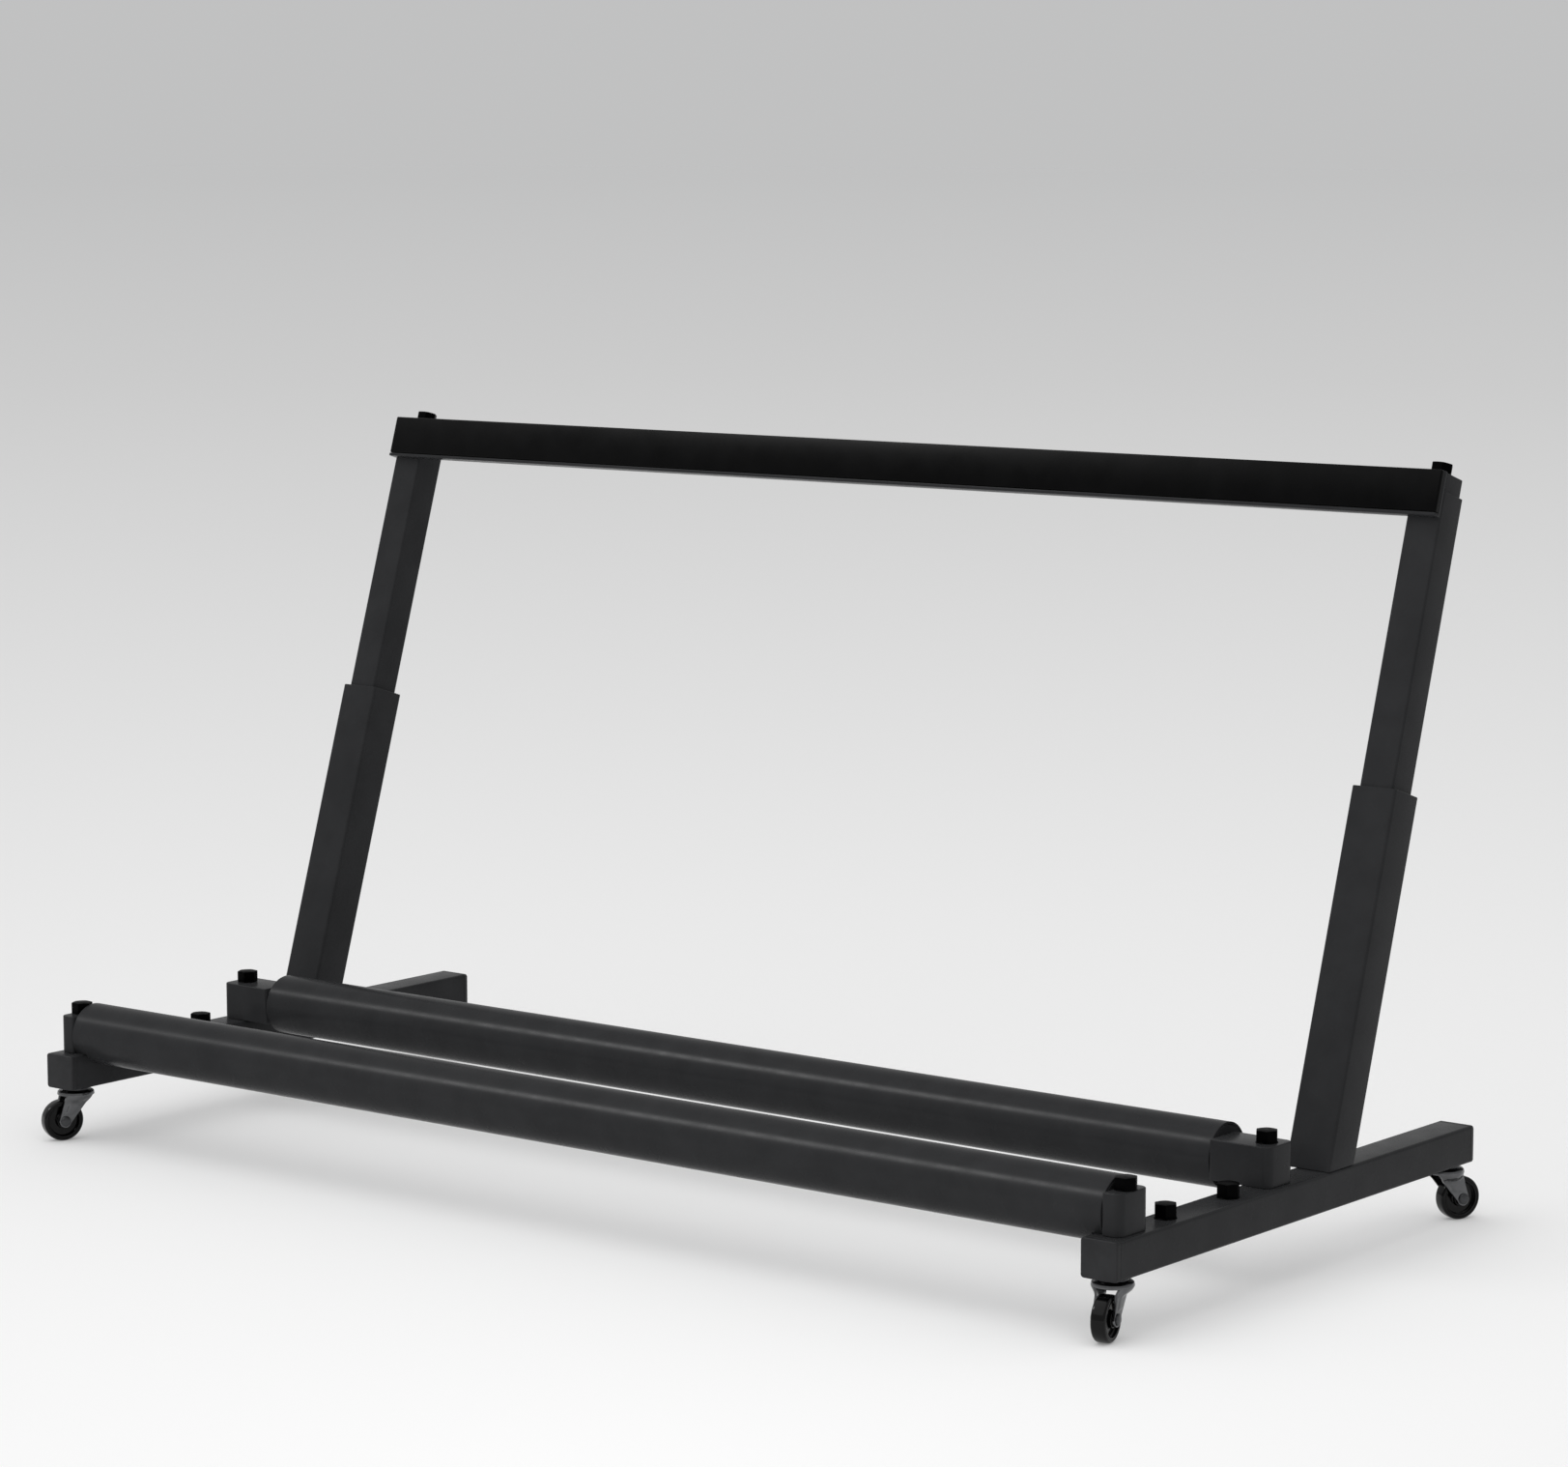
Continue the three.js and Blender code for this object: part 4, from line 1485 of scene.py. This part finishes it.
@dataclass
class Bolting:
    """All the capped bolts: on the feet, the rail brackets and the bar carriers."""

    rails: RailPair
    upright: Upright
    along_foot: Pair = (0.080, 0.158)
    foot_cap: float = 0.0105
    small_cap: float = 0.009
    strip_thickness: float = 0.005
    past_strip: float = 0.003
    front_grip: float = 0.012
    carrier_grip: float = 0.020

    def of_base(self) -> list[Bolt]:
        """Lists the bolts of the feet and the rail brackets.

        Returns:
            The bolts.
        """
        foot, bolts = self.rails.foot, []
        strip_grip = foot.wall + SEAT + self.strip_thickness + self.past_strip
        grips = {End.FRONT: self.front_grip, End.REAR: strip_grip}
        for side in Side:
            for index, along in enumerate(self.along_foot):
                place = (side.sign * abs(foot.centre_x), along - foot.length / 2, foot.top + SEAT)
                bolts.append(Bolt(f"foot_bolt_{index + 1}_{side.value}", place, self.foot_cap, strip_grip))
            for end, grip in grips.items():
                name, place = f"bracket_bolt_{end.value}_{side.value}", self.rails.bolt_place(side, end)
                bolts.append(Bolt(name, place, self.small_cap, place[2] - foot.top + grip))
        return bolts

    def of_backrest(self) -> list[Bolt]:
        """Lists the bolts of the bar carriers.

        Returns:
            The bolts.
        """
        top = Vector((0, 0, self.upright.post_top + self.upright.carrier_rise + SEAT))
        return [
            Bolt(f"bar_bolt_{side.value}", tuple(Upright(side).tilt @ top), self.small_cap, self.carrier_grip)
            for side in Side
        ]

    def build(self, coats: Wardrobe) -> None:
        """Builds and dresses the bolts, in one set for each body.

        Args:
            coats: The finishes.
        """
        BoltSet("capped_bolts_base", "base", self.of_base()).build(coats)
        BoltSet("capped_bolts_backrest", "backrest", self.of_backrest(), -self.upright.lean).build(coats)


@dataclass
class Caster:
    """A swivel caster: stem, pressed fork, axle and wheel.

    The sections of the rivets are points of radius and rise, those of the crown are points of inset from its
    rim and rise, and the line in the wheel's side has points of radius and depth.
    """

    side: Side
    end: End
    turn: float
    foot: Foot
    inset: float = 0.017
    wheel_radius: float = 0.0165
    wheel_width: float = 0.011
    trail: float = 0.012
    tread_round: float = 0.0022
    tread_steps: int = 6
    rim_inner: float = 0.0125
    sidewall_line: tuple[Point, ...] = ((0.0135, 0.0), (0.0137, 0.0003), (0.0140, 0.0003), (0.0142, 0.0))
    web: float = 0.005
    hub_radius: float = 0.006
    hub_width: float = 0.012
    hub_bore: float = 0.0028
    bore_edge: Pair = (0.0004, 0.0002)
    hub_edge: float = 0.0004
    hub_fillet: float = 0.0006
    rim_fillet: float = 0.0007
    wheel_faces: int = 96
    axle_radius: float = 0.0025
    axle_head: tuple[Point, ...] = (
        (0.0042, 0.0), (0.0042, 0.0004), (0.0037, 0.001), (0.0024, 0.0014), (0.0, 0.0015),
    )
    axle_faces: int = 32
    leg_inner: float = 0.0065
    leg_outer: float = 0.0085
    leg_end: float = 0.0052
    leg_front: float = 0.011
    leg_back: float = 0.011
    leg_slant: float = math.radians(18)
    leg_levels: int = 26
    leg_shares: tuple[float, ...] = (
        -1.0, -0.96, -0.88, -0.74, -0.62, -0.52, -0.42, -0.2, 0.0,
        0.2, 0.42, 0.52, 0.62, 0.74, 0.88, 0.96, 1.0,
    )
    leg_end_turns: range = range(8, 88, 8)
    leg_edge: float = 0.0005
    leg_edge_share: float = 0.85
    leg_rim_inset: float = 0.0001
    shoulder: float = 0.0075
    rib_height: float = 0.0007
    rib_share: float = 0.64
    rib_side: float = 0.22
    rib_start: float = 0.001
    rib_rise: float = 0.003
    rib_fall: float = 0.002
    crown_radius: float = 0.015
    crown_bore: float = 0.0038
    crown_thickness: float = 0.0026
    crown_rim: float = 0.0008
    crown_under: tuple[Point, ...] = (
        (0.0046, 0.0006), (0.0032, 0.0002), (0.0022, -0.0008), (0.0006, -0.0014), (0.0, -0.0009), (0.0, 0.0),
    )
    crown_over: tuple[Point, ...] = ((0.0004, -0.0012), (0.0015, -0.0003), (0.003, 0.0))
    crown_faces: int = 64
    collar_radius: float = 0.011
    collar_height: float = 0.0018
    chamfer: float = 0.0005
    pivot_radius: float = 0.0035
    rivet: tuple[Point, ...] = (
        (0.0, -0.002), (0.0035, -0.0019), (0.0053, -0.0013), (0.006, -0.0004), (0.0058, 0.0),
    )
    stem_radius: float = 0.004
    stem_length: float = 0.014
    stem_faces: int = 48
    gap: float = 0.0004

    @property
    def place(self) -> Matrix:
        """The caster's place under the foot, turned about its stem."""
        y = self.end.sign * (self.foot.length / 2 - self.inset)
        return placing((self.foot.centre_x, y, self.foot.under), self.turn, "Z")

    @property
    def drop(self) -> float:
        """How far the axle lies below the foot."""
        return self.foot.under - self.wheel_radius

    @property
    def crown_top(self) -> float:
        """Height of the crown's top."""
        return -(SEAT + self.collar_height + self.gap)

    @property
    def leg_top(self) -> float:
        """Depth at which the legs leave the crown's rim."""
        return -(self.crown_top - self.crown_thickness - self.crown_rim)

    @property
    def axle_place(self) -> Matrix:
        """Lays a turned piece along the axle."""
        return self.place @ placing((0, -self.trail, -self.drop), math.pi / 2, "Y")

    def stem(self) -> Blank:
        """Makes the stem with its collar and riveted end.

        Returns:
            The stem in its place.
        """
        rivet, low = self.crown_top - self.crown_thickness - self.gap, -SEAT - self.collar_height
        collar, stem, length, chamfer = self.collar_radius, self.stem_radius, self.stem_length, self.chamfer
        part = Blank().turned([
            *((radius, rivet + rise) for radius, rise in self.rivet), (self.pivot_radius, rivet),
            (self.pivot_radius, low), (collar - BROKEN_EDGE, low), (collar, low + BROKEN_EDGE),
            (collar, -SEAT - chamfer), (collar - chamfer, -SEAT), (stem, -SEAT), (stem, length - chamfer),
            (stem - chamfer, length), (0, length),
        ], self.stem_faces)
        return Blank().add(part, self.place)

    def leg_span(self, depth: float) -> Point:
        """Gives how far a leg reaches backward and forward at a depth below the foot.

        Args:
            depth: Distance below the underside of the foot.

        Returns:
            The places of the trailing and the leading edge along the way of travel.
        """
        top, slant = self.leg_top, self.leg_slant
        back_share = (depth - top) / (self.drop - top)
        back = -self.leg_back + back_share * (self.leg_back - self.trail - self.leg_end)
        front_share = (depth - top) / (self.drop + self.leg_end * math.sin(slant) - top)
        foremost = self.leg_end * math.cos(slant) - self.trail
        front = self.leg_front + front_share * (foremost - self.leg_front)
        below = depth - self.drop
        reach = math.sqrt(max(self.leg_end ** 2 - below ** 2, 0.0))
        if below > 0:
            back = -self.trail - reach
        if below > self.leg_end * math.sin(slant):
            front = -self.trail + reach
        return back, front

    def leg_section(self, sign: int, depth: float) -> Ring:
        """Gives the level section of a leg.

        Args:
            sign: Which way along the axle the leg lies.
            depth: Distance below the underside of the foot.

        Returns:
            The points of the outer face from back to front, and then of the inner face.
        """
        back, front = self.leg_span(depth)
        sunk = depth - self.leg_top
        bend = smooth(sunk / self.shoulder)
        rib_here = smooth((sunk - self.rib_start) / self.rib_rise)
        rib_here *= smooth((self.drop - self.leg_end - depth) / self.rib_fall)
        outer, inner = [], []
        for share in self.leg_shares:
            y = (front + back) / 2 + share * (front - back) / 2
            rim = math.sqrt(max(self.crown_radius ** 2 - y ** 2, 0.0)) - self.leg_rim_inset
            start = max(rim, self.leg_outer)
            x = start + bend * (self.leg_outer - start)
            rib = self.rib_height * rib_here * smooth((self.rib_share - abs(share)) / self.rib_side)
            past = max(0.0, (abs(share) - self.leg_edge_share) / (1 - self.leg_edge_share))
            edge = self.leg_edge * (1 - math.sqrt(max(1 - past ** 2, 0.0)))
            outer.append(Vector((sign * (x + rib - edge), y, -depth)))
            inner.append(Vector((sign * (x - self.leg_outer + self.leg_inner), y, -depth)))
        return outer + inner[::-1]

    def leg(self, sign: int) -> Blank:
        """Makes one leg: it turns down from the crown's rim, is stiffened by a rib and ends round the axle.

        Args:
            sign: Which way along the axle the leg lies.

        Returns:
            The leg, under the origin.
        """
        count, top = self.leg_levels, self.leg_top
        levels = [top + (self.drop - top) * k / count for k in range(count + 1)]
        levels += [self.drop + self.leg_end * math.sin(math.radians(turn)) for turn in self.leg_end_turns]
        return Blank().skin([self.leg_section(sign, depth) for depth in levels])

    def fork(self) -> Blank:
        """Makes the pressed fork: a dished crown and two legs.

        Returns:
            The fork in its place.
        """
        top, low, rim = self.crown_top, self.crown_top - self.crown_thickness, self.crown_radius
        part = Blank().turned([
            (self.crown_bore, low + self.crown_under[0][1]),
            *((rim - inset, low + rise) for inset, rise in self.crown_under),
            *((rim - inset, top + rise) for inset, rise in self.crown_over),
            (self.crown_bore, top),
        ], self.crown_faces)
        for sign in (1, -1):
            part.add(self.leg(sign))
        return Blank().add(part, self.place)

    def axle(self) -> Blank:
        """Makes the axle, riveted outside both legs.

        Returns:
            The axle in its place.
        """
        start = self.leg_outer + SEAT
        upper = [(self.axle_radius, start), *((radius, start + rise) for radius, rise in self.axle_head)]
        lower = [(radius, -height) for radius, height in upper][::-1]
        return Blank().add(Blank().turned([*lower, *upper], self.axle_faces), self.axle_place)

    def wheel(self) -> Blank:
        """Makes the wheel: a round-edged tread with a sidewall line, a thin web and a hub.

        Returns:
            The wheel in its place.
        """
        half, web, hub_half = self.wheel_width / 2, self.web / 2, self.hub_width / 2
        radius, edge, hub, rim = self.wheel_radius, self.tread_round, self.hub_radius, self.rim_inner
        turns = [k / self.tread_steps * math.pi / 2 for k in range(self.tread_steps + 1)]
        (across, along), hub_edge = self.bore_edge, self.hub_edge
        upper = [
            (self.hub_bore, hub_half - along), (self.hub_bore + across, hub_half), (hub - hub_edge, hub_half),
            (hub, hub_half - hub_edge), (hub, web + self.hub_fillet), (hub + self.hub_fillet, web),
            (rim - self.rim_fillet, web), (rim, web + self.rim_fillet),
            (rim, half - BROKEN_EDGE), (rim + BROKEN_EDGE, half),
            *((r, half - groove) for r, groove in self.sidewall_line),
            *((radius - edge + edge * math.sin(t), half - edge + edge * math.cos(t)) for t in turns),
        ]
        lower = [(r, -height) for r, height in upper][::-1]
        return Blank().add(Blank().turned([*upper, *lower], self.wheel_faces), self.axle_place)

    def build(self, coats: Wardrobe) -> None:
        """Builds and dresses the caster.

        Args:
            coats: The finishes.
        """
        key = f"{self.end.value}_{self.side.value}"
        stem = self.stem().finish(f"collared_stem_{key}", coats.steel)
        register(stem, "base", "steel", f"caster_stem_{key}")
        fork = self.fork().finish(f"pressed_fork_{key}", coats.zinc)
        register(fork, f"fork_{key}", "zinc_plate", f"caster_fork_{key}")
        axle = self.axle().finish(f"riveted_axle_{key}", coats.steel)
        register(axle, f"fork_{key}", "steel", f"caster_axle_{key}")
        wheel = self.wheel().finish(f"rubber_wheel_{key}", coats.tyre)
        register(wheel, f"wheel_{key}", "wheel_rubber", f"caster_wheel_{key}")


# Surroundings


@dataclass
class Viewpoint:
    """The camera: where it stands, how it is turned and how far it sees."""

    place: Spot = (2.23145, -2.73841, 0.80761)
    azimuth: float = math.radians(38.520)
    elevation: float = math.radians(7.409)
    roll: float = math.radians(-0.087)
    focal_pixels: float = 4793.58
    image_width: float = 1623.0
    sensor: float = 36.0
    nearest: float = 0.05
    farthest: float = 400.0

    def build(self) -> None:
        """Makes the scene's camera."""
        data = bpy.data.cameras.new("viewpoint")
        data.sensor_fit = "HORIZONTAL"
        data.sensor_width = self.sensor
        data.lens = self.sensor * self.focal_pixels / self.image_width
        data.clip_start, data.clip_end = self.nearest, self.farthest
        sin_az, cos_az = math.sin(self.azimuth), math.cos(self.azimuth)
        sin_el, cos_el = math.sin(self.elevation), math.cos(self.elevation)
        ahead = Vector((-sin_az * cos_el, cos_az * cos_el, -sin_el))
        level = Vector((cos_az, sin_az, 0.0))
        upward = level.cross(ahead)
        right = math.cos(self.roll) * level + math.sin(self.roll) * upward
        upward = -math.sin(self.roll) * level + math.cos(self.roll) * upward
        turn = Matrix((right, upward, -ahead)).transposed().to_4x4()
        camera = put("viewpoint", data)
        camera.matrix_world = Matrix.Translation(self.place) @ turn
        bpy.context.scene.camera = camera
        LOG.info("camera at %s with a %.1f mm lens", self.place, data.lens)


@dataclass(frozen=True)
class Sun:
    """A distant soft light: where it comes from, its share of the floor's light and its width in degrees."""

    name: str
    toward: Spot
    floor_share: float
    width: float
    shadow: bool = True

    def build(self) -> None:
        """Makes the light, as strong as its share of the floor's light asks."""
        toward = Vector(self.toward).normalized()
        data = bpy.data.lights.new(self.name, "SUN")
        data.energy = self.floor_share * math.pi / toward.z
        data.angle = math.radians(self.width)
        data.use_shadow = self.shadow
        put(self.name, data).rotation_euler = toward.to_track_quat("Z", "Y").to_euler()


@dataclass
class Studio:
    """A wide pale floor with a painted pool of light that darkens into the backdrop, and soft light that adds
    up to one on the floor.
    """

    # Centre, fade and greys of the pool of light that is painted into the floor's colour.
    centre: Spot = (0.5, -0.75, 0.0)
    reach: float = 80.0
    fade: float = 4.0
    near_grey: float = 0.998
    middle_grey: float = 0.6
    middle_share: float = 0.76
    far_grey: float = 0.532
    far_tint: Colour = (1.0, 1.003, 1.006)
    sky_share: float = 0.56
    suns: tuple[Sun, ...] = (
        Sun("overhead_light", toward=(-0.1, -0.4, 0.91), floor_share=0.25, width=80.0),
        Sun("front_light", toward=(-0.607, -0.445, 0.658), floor_share=0.19, width=12.0, shadow=False),
    )

    @property
    def backdrop(self) -> Colour:
        """The colour in which the floor ends and the world is seen."""
        return tuple(self.far_grey * value for value in self.far_tint)

    def floor(self) -> None:
        """Makes the floor, whose grey is a painted pool of light: brightest at a point in front of the stand,
        it fades with the distance.
        """
        shader = Shader("pale_floor")
        offset = shader.node("ShaderNodeVectorMath", operation="SUBTRACT")
        offset.inputs[1].default_value = self.centre
        shader.link(shader.place, "Object", offset, 0)
        away = shader.node("ShaderNodeVectorMath", operation="LENGTH")
        shader.link(offset, "Vector", away, 0)
        wider = shader.node("ShaderNodeMath", operation="ADD")
        wider.inputs[1].default_value = self.fade
        shader.link(away, "Value", wider, 0)
        share = shader.node("ShaderNodeMath", operation="DIVIDE")
        shader.link(away, "Value", share, 0)
        shader.link(wider, "Value", share, 1)
        size = self.reach
        # The ramp paints the pool of light into the floor's colour, from near_grey at the centre out to the
        # backdrop's grey.
        colour = shader.ramp(share, "Value", (
            (0.0, (self.near_grey,) * 3), (self.middle_share, (self.middle_grey,) * 3),
            (size / (size + self.fade), self.backdrop),
        ))
        shader.link(colour, "Color", shader.surface, "Base Color")
        shader.set(roughness=1.0, specular_ior_level=0.0)
        data = bpy.data.meshes.new("floor")
        corners = [(-size, -size, 0), (size, -size, 0), (size, size, 0), (-size, size, 0)]
        data.from_pydata(corners, [], [(0, 1, 2, 3)])
        data.materials.append(shader.material)
        put("floor", data)

    def world(self) -> None:
        """Makes the world: the backdrop's grey where it is seen or mirrored, and an even light elsewhere."""
        world = bpy.data.worlds.new("room")
        world.use_nodes = True
        tree = world.node_tree
        tree.nodes.clear()

        def light(colour: Colour, strength: float) -> bpy.types.NodeSocket:
            """Adds an even light.

            Args:
                colour: Its colour.
                strength: Its strength.

            Returns:
                The light.
            """
            made = tree.nodes.new("ShaderNodeBackground")
            made.inputs["Color"].default_value = (*colour, 1.0)
            made.inputs["Strength"].default_value = strength
            return made.outputs[0]

        def either(first: bpy.types.NodeSocket, second: bpy.types.NodeSocket) -> bpy.types.NodeSocket:
            """Adds the larger of two values.

            Args:
                first: One value.
                second: The other value.

            Returns:
                The larger one.
            """
            made = tree.nodes.new("ShaderNodeMath")
            made.operation = "MAXIMUM"
            tree.links.new(first, made.inputs[0])
            tree.links.new(second, made.inputs[1])
            return made.outputs[0]

        ray = tree.nodes.new("ShaderNodeLightPath").outputs
        seen = either(either(ray["Is Camera Ray"], ray["Is Glossy Ray"]), ray["Is Transmission Ray"])
        sky, backdrop = light((1.0, 1.0, 1.0), self.sky_share), light(self.backdrop, 1.0)
        mix, output = tree.nodes.new("ShaderNodeMixShader"), tree.nodes.new("ShaderNodeOutputWorld")
        for source, socket in zip((seen, sky, backdrop), mix.inputs):
            tree.links.new(source, socket)
        tree.links.new(mix.outputs[0], output.inputs["Surface"])
        bpy.context.scene.world = world

    def build(self) -> None:
        """Makes the floor, the lights and the world."""
        self.floor()
        self.world()
        for sun in self.suns:
            sun.build()
        bpy.context.scene.view_settings.view_transform = "Standard"


# Degrees by which each caster is turned about its stem.
CASTER_TURNS = {
    (End.FRONT, Side.LEFT): -23, (End.FRONT, Side.RIGHT): 13,
    (End.REAR, Side.LEFT): 188, (End.REAR, Side.RIGHT): 153,
}


def main() -> None:
    """Builds the stand piece by piece."""
    Viewpoint().build()
    Studio().build()
    coats = Wardrobe()
    feet = {side: Foot(side) for side in Side}
    for foot in feet.values():
        foot.build(coats)
    rails = RailPair(feet[Side.RIGHT])
    rails.build(coats)
    uprights = [Upright(side) for side in Side]
    for upright in uprights:
        upright.build(coats)
    PaddedBar(uprights[0]).build(coats)
    Bolting(rails, uprights[0]).build(coats)
    for (end, side), turn in CASTER_TURNS.items():
        Caster(side, end, math.radians(turn), feet[side]).build(coats)


if __name__ == "__main__":
    main()
